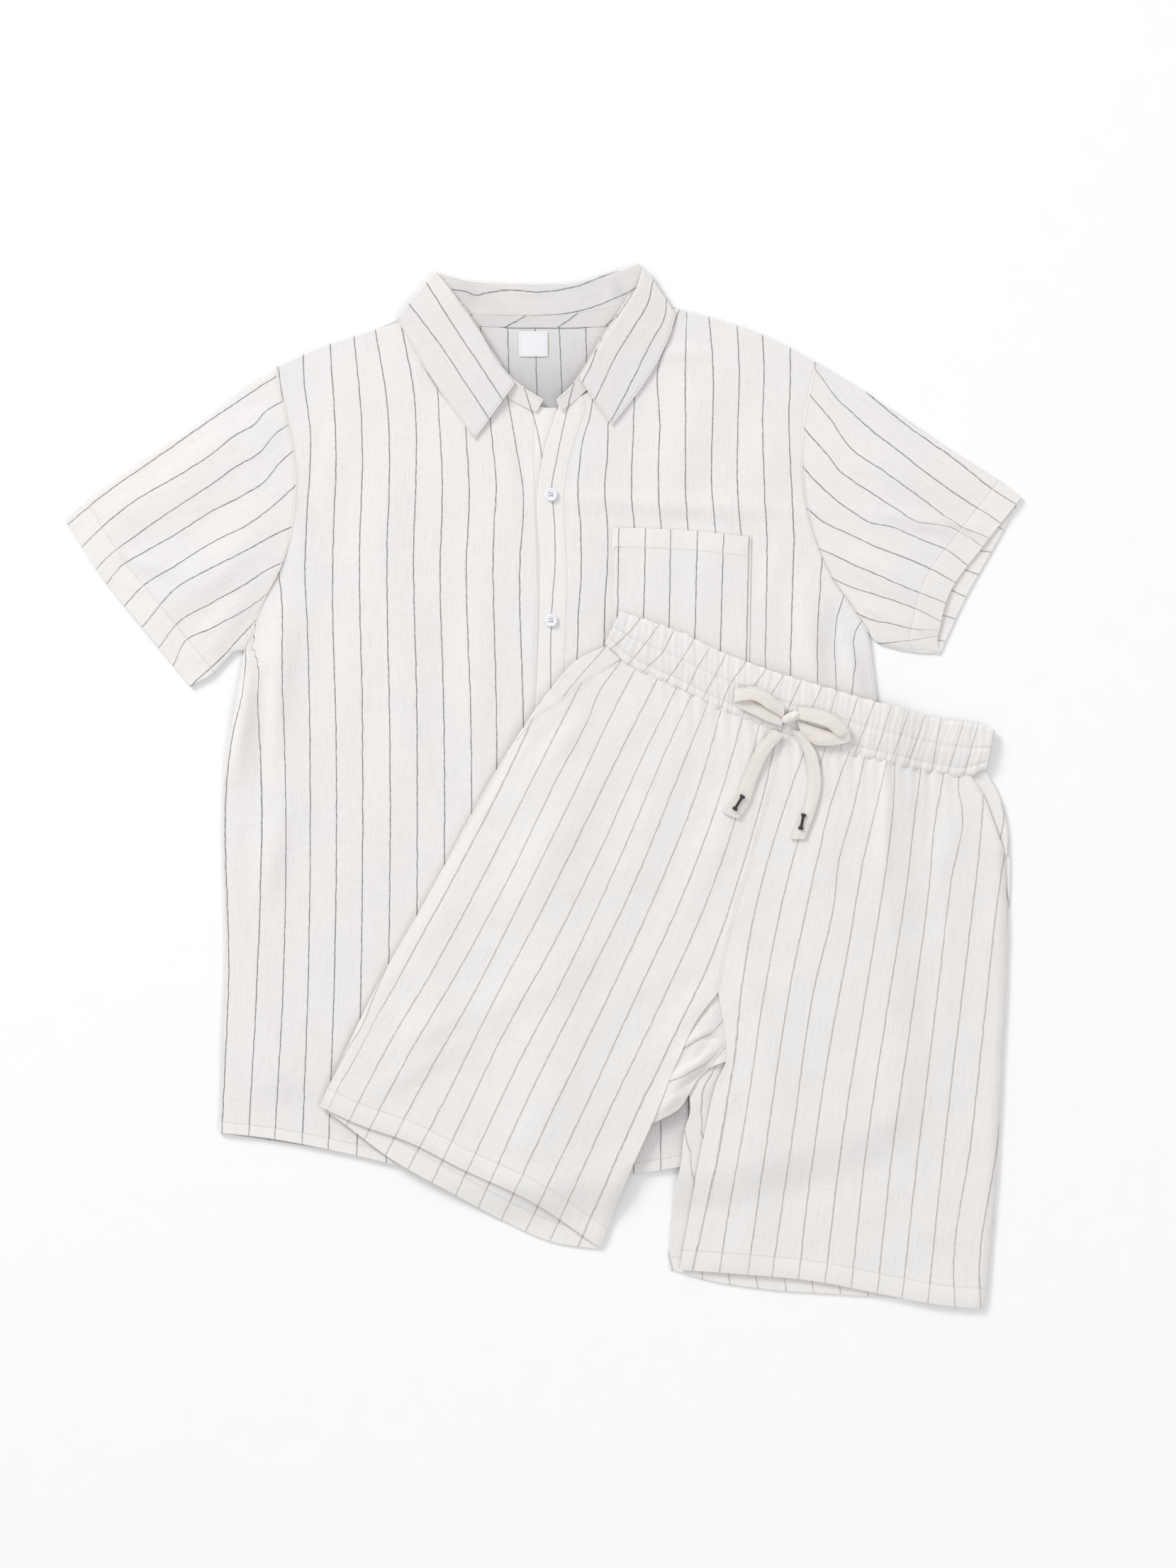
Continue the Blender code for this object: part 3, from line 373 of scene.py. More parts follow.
SLEEVE_L_STRIPES = [
    [(1230, 560), (1270, 593), (1300, 615), (1350, 650), (1400, 690), (1436, 713)],
    [(1168, 545), (1180, 562), (1200, 580), (1225, 603), (1260, 630), (1300, 662), (1350, 698),
     (1400, 730), (1414, 740)],
    [(1142, 556), (1160, 577), (1175, 595), (1185, 612), (1200, 632), (1240, 660), (1300, 703),
     (1350, 740), (1395, 760)],
    [(1134, 603), (1150, 622), (1170, 645), (1185, 665), (1200, 676), (1240, 702), (1270, 722),
     (1290, 735), (1340, 742), (1360, 752), (1383, 768)],
    [(1132, 658), (1150, 678), (1175, 702), (1200, 720), (1230, 738), (1255, 742), (1280, 752),
     (1310, 765), (1340, 778), (1362, 795)],
    [(1140, 718), (1160, 735), (1200, 754), (1240, 773), (1280, 788), (1320, 806), (1336, 815)],
    [(1154, 774), (1180, 785), (1200, 795), (1240, 812), (1280, 830), (1324, 847)],
    [(1177, 817), (1200, 828), (1240, 840), (1270, 850), (1300, 862), (1320, 873)],
    [(1200, 860), (1228, 874), (1260, 880), (1286, 887), (1322, 889)],
    [(1200, 898), (1225, 905), (1250, 907), (1286, 902), (1322, 896)],
]
FALL_R_STRIPES = [
    [(602, 400), (640, 460), (680, 520), (708, 563)], [(578, 430), (620, 485), (660, 545), (690, 590)],
]
FALL_L_STRIPES = [
    [(868, 430), (848, 475), (838, 505), (822, 540)],
    [(921, 400), (915, 425), (895, 460), (870, 500), (840, 562)],
    [(940, 420), (938, 445), (920, 480), (900, 520), (880, 560), (862, 593)],
]
STAND_STRIPES = [
    [(630, 408), (660, 412), (672, 417), (685, 413), (720, 409), (760, 412), (800, 407), (820, 402),
     (835, 396)],
    [(630, 446), (700, 462), (740, 448), (790, 443), (830, 435), (860, 424), (890, 410), (908, 400)],
]
BAND_STRIPES = [
    [(903, 873), (885, 895), (862, 915)], [(927, 885), (905, 915), (885, 938)],
    [(945, 900), (935, 920), (912, 942)],
    [(976, 907), (965, 925), (940, 962)], [(1000, 916), (985, 940), (968, 975)],
    [(1022, 927), (1010, 950), (997, 975)],
    [(1042, 948), (1030, 965), (1015, 1005)], [(1075, 952), (1062, 970), (1048, 1010)],
    [(1100, 960), (1088, 980), (1078, 1010)], [(1128, 965), (1112, 1000), (1106, 1020)],
    [(1157, 975), (1145, 1000), (1136, 1030)], [(1180, 975), (1168, 1018)], [(1208, 990), (1195, 1028)],
    [(1230, 1000), (1207, 1058)], [(1255, 1003), (1235, 1065)], [(1280, 1010), (1258, 1070)],
    [(1305, 1010), (1280, 1078)], [(1325, 1025), (1315, 1085)], [(1358, 1025), (1340, 1080)],
    [(1378, 1027), (1366, 1070)],
]
LEG_R_STRIPES = [
    [(548, 1360), (510, 1450), (470, 1520), (450, 1560)],
    [(747, 1025), (714, 1096), (659, 1203), (570, 1365), (520, 1455), (455, 1575)],
    [(816, 973), (775, 1053), (700, 1201), (610, 1370), (550, 1471), (495, 1576)],
    [(877, 932), (842, 982), (833, 1007), (787, 1096), (717, 1240), (639, 1382), (578, 1485), (514, 1606)],
    [(897, 941), (857, 1019), (821, 1096), (741, 1258), (665, 1408), (606, 1511), (546, 1625)],
    [(929, 955), (885, 1041), (835, 1142), (768, 1277), (705, 1396), (618, 1570), (580, 1641)],
    [(954, 972), (915, 1050), (848, 1197), (776, 1341), (712, 1455), (645, 1594), (612, 1663)],
    [(978, 975), (943, 1050), (879, 1200), (799, 1372), (736, 1491), (677, 1614), (645, 1681)],
    [(998, 993), (955, 1099), (888, 1261), (815, 1408), (752, 1534), (677, 1699)],
    [(1018, 998), (989, 1099), (925, 1261), (859, 1404), (776, 1574), (724, 1685)],
    [(1047, 1015), (1023, 1099), (964, 1261), (898, 1404), (831, 1550), (760, 1699)],
    [(1070, 1027), (1052, 1105), (1001, 1261), (930, 1420), (867, 1550), (799, 1699)],
    [(1098, 1025), (1082, 1099), (1035, 1261), (1007, 1342), (955, 1452), (898, 1570), (841, 1699)],
    [(1139, 1048), (1113, 1120), (1087, 1200), (1051, 1342)],
]
LEG_L_STRIPES = [
    [(1098, 1025), (1082, 1099), (1035, 1261), (1007, 1342), (990, 1400)],
    [(1139, 1048), (1113, 1120), (1087, 1200), (1062, 1300), (1048, 1383), (1039, 1476), (1015, 1622),
     (978, 1790)],
    [(1164, 1052), (1143, 1130), (1118, 1214), (1078, 1400), (1053, 1566), (1030, 1695), (1015, 1793)],
    [(1198, 1059), (1171, 1137), (1156, 1200), (1113, 1400), (1083, 1599), (1055, 1798)],
    [(1220, 1064), (1205, 1135), (1181, 1227), (1178, 1263), (1147, 1400), (1118, 1602), (1089, 1798)],
    [(1253, 1069), (1237, 1135), (1221, 1198), (1196, 1340), (1171, 1473), (1142, 1668), (1127, 1801)],
    [(1262, 1071), (1258, 1154), (1251, 1214), (1222, 1396), (1189, 1602), (1164, 1808)],
    [(1300, 1081), (1289, 1161), (1281, 1234), (1254, 1406), (1224, 1605), (1201, 1814)],
    [(1333, 1087), (1317, 1173), (1312, 1239), (1288, 1420), (1262, 1599), (1238, 1821)],
    [(1353, 1093), (1352, 1115), (1357, 1139), (1341, 1246), (1322, 1406), (1298, 1602), (1273, 1828)],
    [(1387, 1126), (1381, 1202), (1365, 1340), (1340, 1546), (1310, 1831)],
    [(1422, 1170), (1405, 1287), (1391, 1416), (1370, 1609), (1345, 1798), (1347, 1838)],
]
BACK_LEG_STRIPES = [
    [(929, 1600), (932, 1700), (952, 1810)],
    [(955, 1560), (965, 1590), (975, 1628), (981, 1680), (992, 1812)],
    [(1001, 1520), (992, 1536), (988, 1560), (989, 1600), (1000, 1660), (1014, 1720), (1031, 1818)],
    [(1048, 1600), (1052, 1700), (1070, 1822)], [(1086, 1600), (1092, 1700), (1110, 1826)],
    [(1126, 1600), (1131, 1700), (1149, 1828)], [(1164, 1600), (1169, 1700), (1187, 1830)],
    [(1204, 1600), (1208, 1700), (1225, 1831)], [(1242, 1600), (1246, 1700), (1263, 1833)],
    [(1281, 1600), (1285, 1700), (1302, 1836)], [(1320, 1600), (1324, 1700), (1341, 1840)],
]
FACING_R_STRIPES = [
    [(855, 912), (840, 930), (820, 952), (805, 970), (790, 990)],
    [(885, 925), (860, 940), (835, 965), (815, 990)],
]
FACING_L_STRIPES = [
    [(1393, 1081), (1404, 1105), (1414, 1135), (1416, 1161), (1411, 1184)],
    [(1430, 1081), (1440, 1105), (1450, 1135), (1452, 1184)],
]


def place(points):
    """Places on the photograph as millimetres of the frame."""
    return (np.array(points, float) - ORIGIN_AT) * (PIXEL, -PIXEL)


def smooth(value):
    """Eases 0 to 1."""
    value = np.clip(value, 0.0, 1.0)
    return value * value * (3.0 - 2.0 * value)


def curve(rows, knots, slopes, at):
    """A smooth line through rows that stand at the knots."""
    left = np.clip(np.searchsorted(knots, at, side="right") - 1, 0, len(knots) - 2)
    span = knots[left + 1] - knots[left]
    t = (at - knots[left]) / span
    if rows.ndim > 1:
        t, span = t[..., None], span[..., None]
    ease = t * t * (3.0 - 2.0 * t)
    lead = t * (1.0 - t) ** 2 * span
    trail = -t * t * (1.0 - t) * span
    return rows[left] * (1.0 - ease) + rows[left + 1] * ease + slopes[left] * lead + slopes[left + 1] * trail


def through(rows, count, even=True):
    """A smooth line through the rows, cut into count equal lengths or else equal shares of the rows."""
    rows = np.array(rows, float)
    lengths = np.linalg.norm(np.diff(rows[:, :2], axis=0), axis=1)
    knots = np.concatenate([[0.0], np.cumsum(lengths if even else np.ones(len(lengths)))])
    return curve(rows, knots, np.gradient(rows, knots, axis=0), np.linspace(0.0, knots[-1], count + 1))


def patch(bottom, top, left, right):
    """Points spread between four edges that meet at their ends."""
    u = np.linspace(0.0, 1.0, len(bottom))[None, :, None]
    v = np.linspace(0.0, 1.0, len(left))[:, None, None]
    across = (1 - u) * left[:, None, :] + u * right[:, None, :]
    along = (1 - v) * bottom[None, :, :] + v * top[None, :, :]
    corners = (1 - v) * ((1 - u) * bottom[0] + u * bottom[-1]) + v * ((1 - u) * top[0] + u * top[-1])
    return across + along - corners


def joined(*runs):
    """Runs of points end to end, each as (rows, count)."""
    parts = [through(rows, count) for rows, count in runs]
    return np.vstack([parts[0]] + [part[1:] for part in parts[1:]])


def fold_height(x, y, table):
    """Height that the folds add at a place."""
    total = np.zeros_like(x)
    for row in table:
        length_x = row[TO_X] - row[FROM_X]
        length_y = row[TO_Y] - row[FROM_Y]
        share = ((x - row[FROM_X]) * length_x + (y - row[FROM_Y]) * length_y) / (length_x**2 + length_y**2)
        share = np.clip(share, 0.0, 1.0)
        away = np.hypot(x - row[FROM_X] - share * length_x, y - row[FROM_Y] - share * length_y)
        taper = 0.35 + 0.65 * np.sin(math.pi * np.clip(share, 0.02, 0.98))
        total = total + row[HEIGHT] * taper * np.exp(-((away / row[HALF_WIDTH]) ** 2))
    return total


def swell(x, y, seed, size):
    """The gentle unevenness of cloth at rest."""
    chance = np.random.default_rng(seed)
    total = np.zeros_like(x)
    for _ in range(9):
        heading = chance.uniform(0, 2 * math.pi)
        reach = chance.uniform(38, 110)
        phase = chance.uniform(0, 2 * math.pi)
        total = total + np.sin((x * math.cos(heading) + y * math.sin(heading)) * 2 * math.pi / reach + phase)
    return size * total / 3


def under_shorts(x, y):
    """1 where the shorts lie on the shirt, easing to 0 past its hem and its side."""
    hem = HEM_LOW_Y + HEM_RISE * (x - HEM_CENTRE_X) ** 2
    return smooth((y - hem + SETTLE) / SETTLE) * smooth((SHIRT_RIGHT_X + SETTLE - x) / SETTLE)


def shown(x, y):
    """0 under the shorts and 1 where the shirt shows."""
    edge = np.interp(x, SHORTS_EDGE_X, SHORTS_EDGE_Y)
    return smooth((y - edge + SHORTS_EDGE_EASE / 5) / SHORTS_EDGE_EASE)


def front_right_z(x, y):
    return FRONT_MID + fold_height(x, y, SHIRT_FOLDS) * shown(x, y)


def front_left_z(x, y):
    over = OVER_FRONT_STEP * (1.0 - smooth((x - OVERLAP_FROM_X) / (OVERLAP_TO_X - OVERLAP_FROM_X)))
    return front_right_z(x, y) + over


def shirt_detail(x, y):
    return (fold_height(x, y, SHIRT_CREASES) + swell(x, y, 3, 0.28)) * shown(x, y)


def shorts_back_z(x, y):
    ridge = BUTTON_RIDGE * np.exp(-(((x - BUTTON_X) / BUTTON_RIDGE_WIDTH) ** 2))
    return BACK_MID + (SHIRT_STACK + ridge) * under_shorts(x, y) + fold_height(x, y, CROTCH_FOLDS)


def shorts_front_z(x, y):
    return shorts_back_z(x, y) + LEG_GAP + fold_height(x, y, SHORTS_FOLDS)


def band_wave(share):
    """The uneven run of gathers along the waistband."""
    return np.sin(share * GATHERS * 2 * math.pi) + 0.35 * np.sin(share * GATHERS * 0.63 * 2 * math.pi)


def off_ends(share):
    """1 along the middle of a run, easing to 0 at its two ends."""
    return smooth(share * 9) * smooth((1 - share) * 9)


def waist_pleats(x, y):
    """The gathers running out of the waist seam into the legs."""
    seam = np.array(WAIST_SEAM_R + WAIST_SEAM_L[1:], float)
    below = (np.interp(x, seam[:, X], seam[:, Y]) - y) * 0.93
    share = (x - seam[0, X]) / (seam[-1, X] - seam[0, X])
    return band_wave(share) * np.exp(-np.clip(below, 0, None) / WAIST_PLEAT_DEPTH) * off_ends(share)


def shorts_detail(x, y):
    return fold_height(x, y, SHORTS_CREASES) + swell(x, y, 5, 0.26) + 0.7 * waist_pleats(x, y)


def stripe_field(lines, degrees):
    """For places on a panel: how far across its stripes they are, and how far along, in millimetres of cloth.
    A stripe runs wherever the first is a whole number of pitches. degrees is the way that the stripes run."""
    turn = math.radians(degrees)
    along = np.array([math.cos(turn), math.sin(turn)])
    across = np.array([-along[Y], along[X]])
    runs = []
    for line in lines:
        points = place(line)
        a, c = points @ along, points @ across
        order = np.argsort(a)
        a, c = a[order], c[order]
        runs.append((a, c, np.gradient(c, a)))
    if runs[0][1].mean() > runs[-1][1].mean():
        runs = runs[::-1]

    def field(x, y):
        a, c = x * along[X] + y * along[Y], x * across[X] + y * across[Y]
        crossings = []
        for knots, rows, slopes in runs:
            inside = np.clip(a, knots[0], knots[-1])
            beyond = np.clip(a - inside, -45, 45)
            end_slope = np.where(beyond > 0, slopes[-1], slopes[0])
            crossing = curve(rows, knots, slopes, inside) + beyond * end_slope
            crossings.append(np.maximum(crossing, crossings[-1] + 3.0) if crossings else crossing)
        crossings = np.stack(crossings)
        passed = (crossings <= c).sum(axis=0)
        low = np.clip(passed - 1, 0, len(runs) - 2)
        below = np.take_along_axis(crossings, low[None], 0)[0]
        above = np.take_along_axis(crossings, low[None] + 1, 0)[0]
        index = low + (c - below) / (above - below)
        index = np.where(passed == 0, (c - crossings[0]) / STRIPE_PITCH, index)
        index = np.where(passed == len(runs), len(runs) - 1 + (c - crossings[-1]) / STRIPE_PITCH, index)
        return np.stack([index * STRIPE_PITCH, a], axis=-1)

    return field


def stitch_field(seams):
    """For places on a panel: how far inside the nearest line of stitching they are, and how far along it.
    A seam is an edge and the distance of its stitches from it."""
    lines = [(through(edge, 60)[:, :2], offset) for edge, offset in seams]

    def field(x, y):
        best, run = np.full(x.shape, FAR), np.zeros(x.shape)
        for line, offset in lines:
            start, step = line[:-1], np.diff(line, axis=0)
            length = np.linalg.norm(step, axis=1)
            travelled = np.concatenate([[0.0], np.cumsum(length)])[:-1]
            off_x, off_y = x[..., None] - start[:, X], y[..., None] - start[:, Y]
            share = np.clip((off_x * step[:, X] + off_y * step[:, Y]) / length**2, 0, 1)
            away = np.hypot(off_x - share * step[:, X], off_y - share * step[:, Y])
            nearest = away.argmin(axis=-1)[..., None]
            inside = np.take_along_axis(away, nearest, -1)[..., 0] - offset
            at = np.take_along_axis(travelled + share * length, nearest, -1)[..., 0]
            closer = inside < best
            best, run = np.where(closer, inside, best), np.where(closer, at, run)
        return np.stack([best, run], axis=-1)

    return field


def far_from_stitches(x, y):
    return np.dstack([np.full(x.shape, FAR), np.zeros(x.shape)])


def mesh_object(name, points, faces, material, maps=None):
    """A smooth mesh from millimetre points, with a UV map for each named array of places."""
    mesh = bpy.data.meshes.new(name)
    mesh.from_pydata((np.asarray(points, float) * MM).tolist(), [], faces)
    mesh.polygons.foreach_set("use_smooth", [True] * len(mesh.polygons))
    corners = np.zeros(len(mesh.loops), int)
    mesh.loops.foreach_get("vertex_index", corners)
    for layer, values in (maps or {}).items():
        made = mesh.uv_layers.new(name=layer)
        made.data.foreach_set("uv", np.asarray(values, float)[corners].astype(np.float32).ravel())
    mesh.materials.append(material)
    mesh.update()
    obj = bpy.data.objects.new(name, mesh)
    bpy.context.scene.collection.objects.link(obj)
    return obj


def normals_of(grid, wrap):
    """The way a grid of points faces, up where its columns run right and its rows up."""
    if wrap:
        across = np.roll(grid, -1, axis=1) - np.roll(grid, 1, axis=1)
    else:
        across = np.gradient(grid, axis=1)
    facing = np.cross(across, np.gradient(grid, axis=0))
    return facing / np.maximum(np.linalg.norm(facing, axis=2, keepdims=True), 1e-9)


def shell(name, grid, wall, material, thread, stitch, wrap=False, shade=None):
    """A thin sheet of cloth on a grid of points, with rounded edges. A wrapped grid is a tube.
    Shade is the painted shade on the upper side, how far it is darkened, 0 to 1."""
    rows, columns = grid.shape[:2]
    facing = normals_of(grid, wrap)
    upward = facing[:, : columns // 2, 2].mean() if wrap else facing[:, :, 2].mean()
    if upward < 0:
        facing = -facing
    turned = upward < 0
    count = rows * columns
    flat = grid.reshape(-1, 3)
    out = facing.reshape(-1, 3) * (wall / 2)
    points = [flat + out, flat - out]
    number = np.arange(count).reshape(rows, columns)
    last = columns if wrap else columns - 1
    a = number[:-1, :last]
    b = np.roll(number, -1, axis=1)[:-1, :last]
    c = np.roll(number, -1, axis=1)[1:, :last]
    d = number[1:, :last]
    top = np.stack([a, b, c, d], axis=-1).reshape(-1, 4)
    if turned:
        top = top[:, ::-1]
    faces = [top, top[:, ::-1] + count]
    if wrap:
        loops = [(number[0], grid[0] - grid[1], False), (number[-1], grid[-1] - grid[-2], True)]
    else:
        inner = np.clip(np.arange(rows), 1, rows - 2)
        middle = np.clip(np.arange(columns), 1, columns - 2)
        ring = np.concatenate([number[0, :-1], number[:-1, -1], number[-1, :0:-1], number[:0:-1, 0]])
        inward = grid[inner][:, middle].reshape(-1, 3)
        loops = [(ring, flat[ring] - inward[ring], False)]
    owners = [np.arange(count), np.arange(count)]
    base = 2 * count
    for ring, outward, swapped in loops:
        step = outward / np.maximum(np.linalg.norm(outward, axis=1, keepdims=True), 1e-9)
        points.append(flat[ring] + step * wall * 0.4)
        owners.append(ring)
        here = base + np.arange(len(ring))
        after = np.roll(here, -1)
        nearby = np.roll(ring, -1)
        upper = np.stack([ring, here, after, nearby], axis=-1)
        lower = np.stack([here, ring + count, nearby + count, after], axis=-1)
        for strip in (upper, lower):
            faces.append(strip if swapped == turned else strip[:, ::-1])
        base += len(ring)
    owner = np.concatenate(owners)
    maps = {"thread": thread.reshape(-1, 2)[owner], "stitch": stitch.reshape(-1, 2)[owner]}
    # painted shade for the upper side only
    if shade is not None:
        upper_side = np.ones(len(owner))
        upper_side[count : 2 * count] = 0.0
        maps["shade"] = np.column_stack([shade.ravel()[owner] * upper_side, np.zeros(len(owner))])
    obj = mesh_object(name, np.vstack(points), np.vstack(faces).tolist(), material, maps)
    obj.data.set_sharp_from_angle(angle=math.radians(38))
    return obj


def dress(obj, slot, *nodes):
    """The piece stands for these solids, and rides on the set's one body."""
    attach(obj, "root")
    if nodes:
        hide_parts(*nodes)
    return obj


def lay(obj, slot, name):
    dress(obj, slot, name)


def panel(
    name, flat, height, detail, cloth, stripes, seams,
    edge_lift=0.0, shade=None, wall=SHEET, closed=(), parts=(),
):
    """A flat panel of cloth. Closed are the edges that turn down to the layer below, each with how far."""
    x, y = flat[:, :, X], flat[:, :, Y]
    stitch = stitch_field(seams)(x, y) if seams else far_from_stitches(x, y)
    z = height(x, y) + detail(x, y) + smooth(-stitch[:, :, 0] / 1.5) * edge_lift
    for edge, drop in closed:
        z = z - drop * np.exp(-((stitch_field([(edge, 0.0)])(x, y)[:, :, 0] / 3.2) ** 2))
    material, slot = cloth
    # painted shade: how far the panel's upper side is darkened at each point
    painted_shading = shade(x, y) if shade else None
    obj = shell(f"{name}_cloth", np.dstack([flat, z]), wall, material, stripes(x, y), stitch, shade=painted_shading)
    lay(obj, slot, name)


def still(x, y):
    return np.zeros_like(x)


# Materials


class Recipe:
    """A material and short ways to add nodes. A value is a number, a colour or another node's output."""

    def __init__(self, name, roughness, specular, sheen):
        self.material = bpy.data.materials.new(name)
        self.material.use_nodes = True
        self.tree = self.material.node_tree
        self.shader = next(n for n in self.tree.nodes if n.type == "BSDF_PRINCIPLED")
        looks = {"Roughness": roughness, "Specular IOR Level": specular, "Sheen Weight": sheen}
        for socket, value in {**looks, "Sheen Roughness": 0.5}.items():
            self.shader.inputs[socket].default_value = value

    def fill(self, socket, value):
        if isinstance(value, bpy.types.NodeSocket):
            self.tree.links.new(value, socket)
        else:
            socket.default_value = value

    def node(self, kind, inputs, **settings):
        made = self.tree.nodes.new(kind)
        for key, value in settings.items():
            setattr(made, key, value)
        for key, value in inputs.items():
            self.fill(made.inputs[key], value)
        return made

    def reckon(self, operation, *values):
        return self.node("ShaderNodeMath", dict(enumerate(values)), operation=operation).outputs[0]

    def plus(self, one, other):
        return self.reckon("ADD", one, other)

    def times(self, one, other):
        return self.reckon("MULTIPLY", one, other)

    def size(self, value):
        return self.reckon("ABSOLUTE", value)

    def dashes(self, run, step, length):
        """1 on each dash of a dashed line and 0 between them."""
        return self.reckon("LESS_THAN", self.reckon("FLOORED_MODULO", run, step), length)

    def ripple(self, value, pitch):
        return self.reckon("SINE", self.times(value, 2 * math.pi / pitch))

    def spread(self, value, low, high, to_low=0.0, to_high=1.0):
        """The value from low to high, eased onto another range."""
        inputs = {"Value": value, "From Min": low, "From Max": high, "To Min": to_low, "To Max": to_high}
        return self.node("ShaderNodeMapRange", inputs, interpolation_type="SMOOTHSTEP").outputs[0]

    def mixed(self, share, one, other):
        """Two colours mixed, each three numbers or an output."""
        made = self.node("ShaderNodeMix", {}, data_type="RGBA", clamp_factor=True)
        for key, value in (("Factor_Float", share), ("A_Color", one), ("B_Color", other)):
            value = (*value, 1.0) if isinstance(value, tuple) else value
            self.fill(next(s for s in made.inputs if s.identifier == key), value)
        return next(s for s in made.outputs if s.identifier == "Result_Color")

    def own_places(self):
        return self.node("ShaderNodeTexCoord", {}).outputs["Object"]

    def laid_map(self, layer):
        return self.node("ShaderNodeUVMap", {}, uv_map=layer).outputs[0]

    def parts(self, layer):
        """The two numbers of a UV map, in millimetres of cloth."""
        return self.node("ShaderNodeSeparateXYZ", {0: self.laid_map(layer)}).outputs[:2]

    def noise(self, scale, detail=3.0, at=None):
        """Noise over the object's own places in metres, or over a given vector."""
        at = self.own_places() if at is None else at
        return self.node("ShaderNodeTexNoise", {"Vector": at, "Scale": scale, "Detail": detail}).outputs[0]

    def weave_noise(self, across, along, detail=2.0):
        """Noise over the threads of the cloth, with a scale each way."""
        inputs = {0: self.laid_map("thread"), 1: (across, along, 1.0)}
        at = self.node("ShaderNodeVectorMath", inputs, operation="MULTIPLY").outputs[0]
        return self.noise(1.0, detail, at)

    def finish(self, colour, height=None, strength=0.0, distance=0.0):
        self.fill(self.shader.inputs["Base Color"], colour)
        if height is not None:
            bump = self.node("ShaderNodeBump", {"Height": height, "Strength": strength, "Distance": distance})
            self.fill(self.shader.inputs["Normal"], bump.outputs[0])
        return self.material


def dimmed(colour, share):
    return tuple(part * share for part in colour)


def cloth_material(name, ground, tint, stripe, half_width, edge, strength):
    """Plain-woven cloth with fine stripes, slubs in its threads, stitching along its seams, and painted shade
    from its shade map.
    """
    cloth = Recipe(name, 0.92, 0.2, 0.08)
    across, along = cloth.parts("thread")
    inside, run = cloth.parts("stitch")

    # the stripe: a dark thread or two that wander a little and are never quite even
    wander = cloth.times(cloth.plus(cloth.weave_noise(0.02, 0.09), -0.5), 1.6)
    offset = cloth.plus(cloth.plus(across, wander), STRIPE_PITCH / 2)
    near = cloth.size(cloth.plus(cloth.reckon("FLOORED_MODULO", offset, STRIPE_PITCH), -STRIPE_PITCH / 2))
    fray = cloth.times(cloth.plus(cloth.weave_noise(1.1, 0.9), -0.5), 0.5)
    line = cloth.spread(cloth.plus(near, fray), half_width - edge, half_width + edge, 1.0, 0.0)
    wave = cloth.spread(cloth.weave_noise(0.05, 0.22), 0.3, 0.62, strength * 0.72, strength)
    line = cloth.times(line, wave)

    # the ground: slubs along both sets of threads and a slow drift of tone
    slub_up = cloth.spread(cloth.weave_noise(1.1, 0.035), 0.5, 0.75)
    slub_over = cloth.spread(cloth.weave_noise(0.05, 1.3), 0.53, 0.8)
    slub = cloth.times(cloth.plus(slub_up, slub_over), 0.5)
    colour = cloth.mixed(cloth.spread(cloth.weave_noise(0.012, 0.009), 0.35, 0.65), ground, tint)
    colour = cloth.mixed(slub, colour, dimmed(ground, 0.87))
    colour = cloth.mixed(line, colour, stripe)

    # stitching: a pressed channel with short threads in it, and cloth laid double outside it
    channel = cloth.spread(cloth.size(inside), 0.0, 1.3, 1.0, 0.0)
    sewn = cloth.spread(cloth.size(inside), 0.15, 0.45, 1.0, 0.0)
    sewn = cloth.times(sewn, cloth.dashes(run, STITCH_STEP, STITCH_LENGTH))
    colour = cloth.mixed(cloth.spread(inside, -0.8, 0.6, 0.16, 0.0), colour, (0.93, 0.9, 0.87))
    # painted shade in the pressed channel along each line of stitching
    colour = cloth.mixed(cloth.times(channel, 0.16), colour, dimmed(ground, 0.7))
    colour = cloth.mixed(cloth.times(sewn, 0.5), colour, (0.9, 0.88, 0.85))
    # painted shade: the cloth darkened as far as its shade map says
    colour = cloth.mixed(cloth.parts("shade")[0], colour, (0.22, 0.22, 0.235))

    weave = cloth.times(cloth.ripple(across, WEAVE_PITCH), cloth.ripple(along, WEAVE_PITCH))
    height = cloth.plus(cloth.times(weave, 0.12), cloth.times(slub, 0.4))
    for relief, share in ((channel, -0.9), (sewn, 0.9), (cloth.weave_noise(0.14, 0.1, 4.0), 0.9)):
        height = cloth.plus(height, cloth.times(relief, share))
    return cloth.finish(colour, height, 0.7, 0.0004)


def tape_material():
    """Woven tape: fine diagonal ribs in cream, with painted shade along its edges and in the hollows of its
    ribs.
    """
    tape = Recipe("tape_weave", 0.88, 0.2, 0.1)
    across, along = tape.parts("thread")
    rib = tape.ripple(tape.plus(along, tape.size(across)), 1.5)
    drift = tape.spread(tape.weave_noise(0.25, 0.08, 3.0), 0.35, 0.65)
    colour = tape.mixed(drift, (0.86, 0.825, 0.79), (0.83, 0.78, 0.74))
    # painted shade: browner towards the tape's two edges, where it curves down
    colour = tape.mixed(tape.times(tape.spread(tape.size(across), 3.6, 5.4), 0.2), colour, (0.62, 0.53, 0.44))
    # painted shade: browner in the hollows of the ribs
    colour = tape.mixed(tape.spread(rib, -0.2, -1.0, 0.0, 0.16), colour, (0.5, 0.42, 0.33))
    return tape.finish(colour, rib, 0.5, 0.00025)


def label_material():
    """Satin label ribbon, bare, with fine ribs across it."""
    label = Recipe("label_satin", 0.5, 0.4, 0.1)
    inside, run = label.parts("stitch")
    inputs = {"Vector": label.own_places(), "Scale": 700.0, "Distortion": 0.4}
    rib = label.node("ShaderNodeTexWave", inputs, bands_direction="Y").outputs[1]
    sewn = label.times(label.spread(label.size(inside), 0.15, 0.4, 1.0, 0.0), label.dashes(run, 2.2, 1.5))
    drift = label.spread(label.noise(900.0, 2.0), 0.35, 0.65)
    colour = label.mixed(drift, (0.84, 0.84, 0.87), (0.80, 0.80, 0.84))
    colour = label.mixed(label.times(sewn, 0.5), colour, (0.6, 0.6, 0.63))
    return label.finish(colour, rib, 0.3, 0.0001)


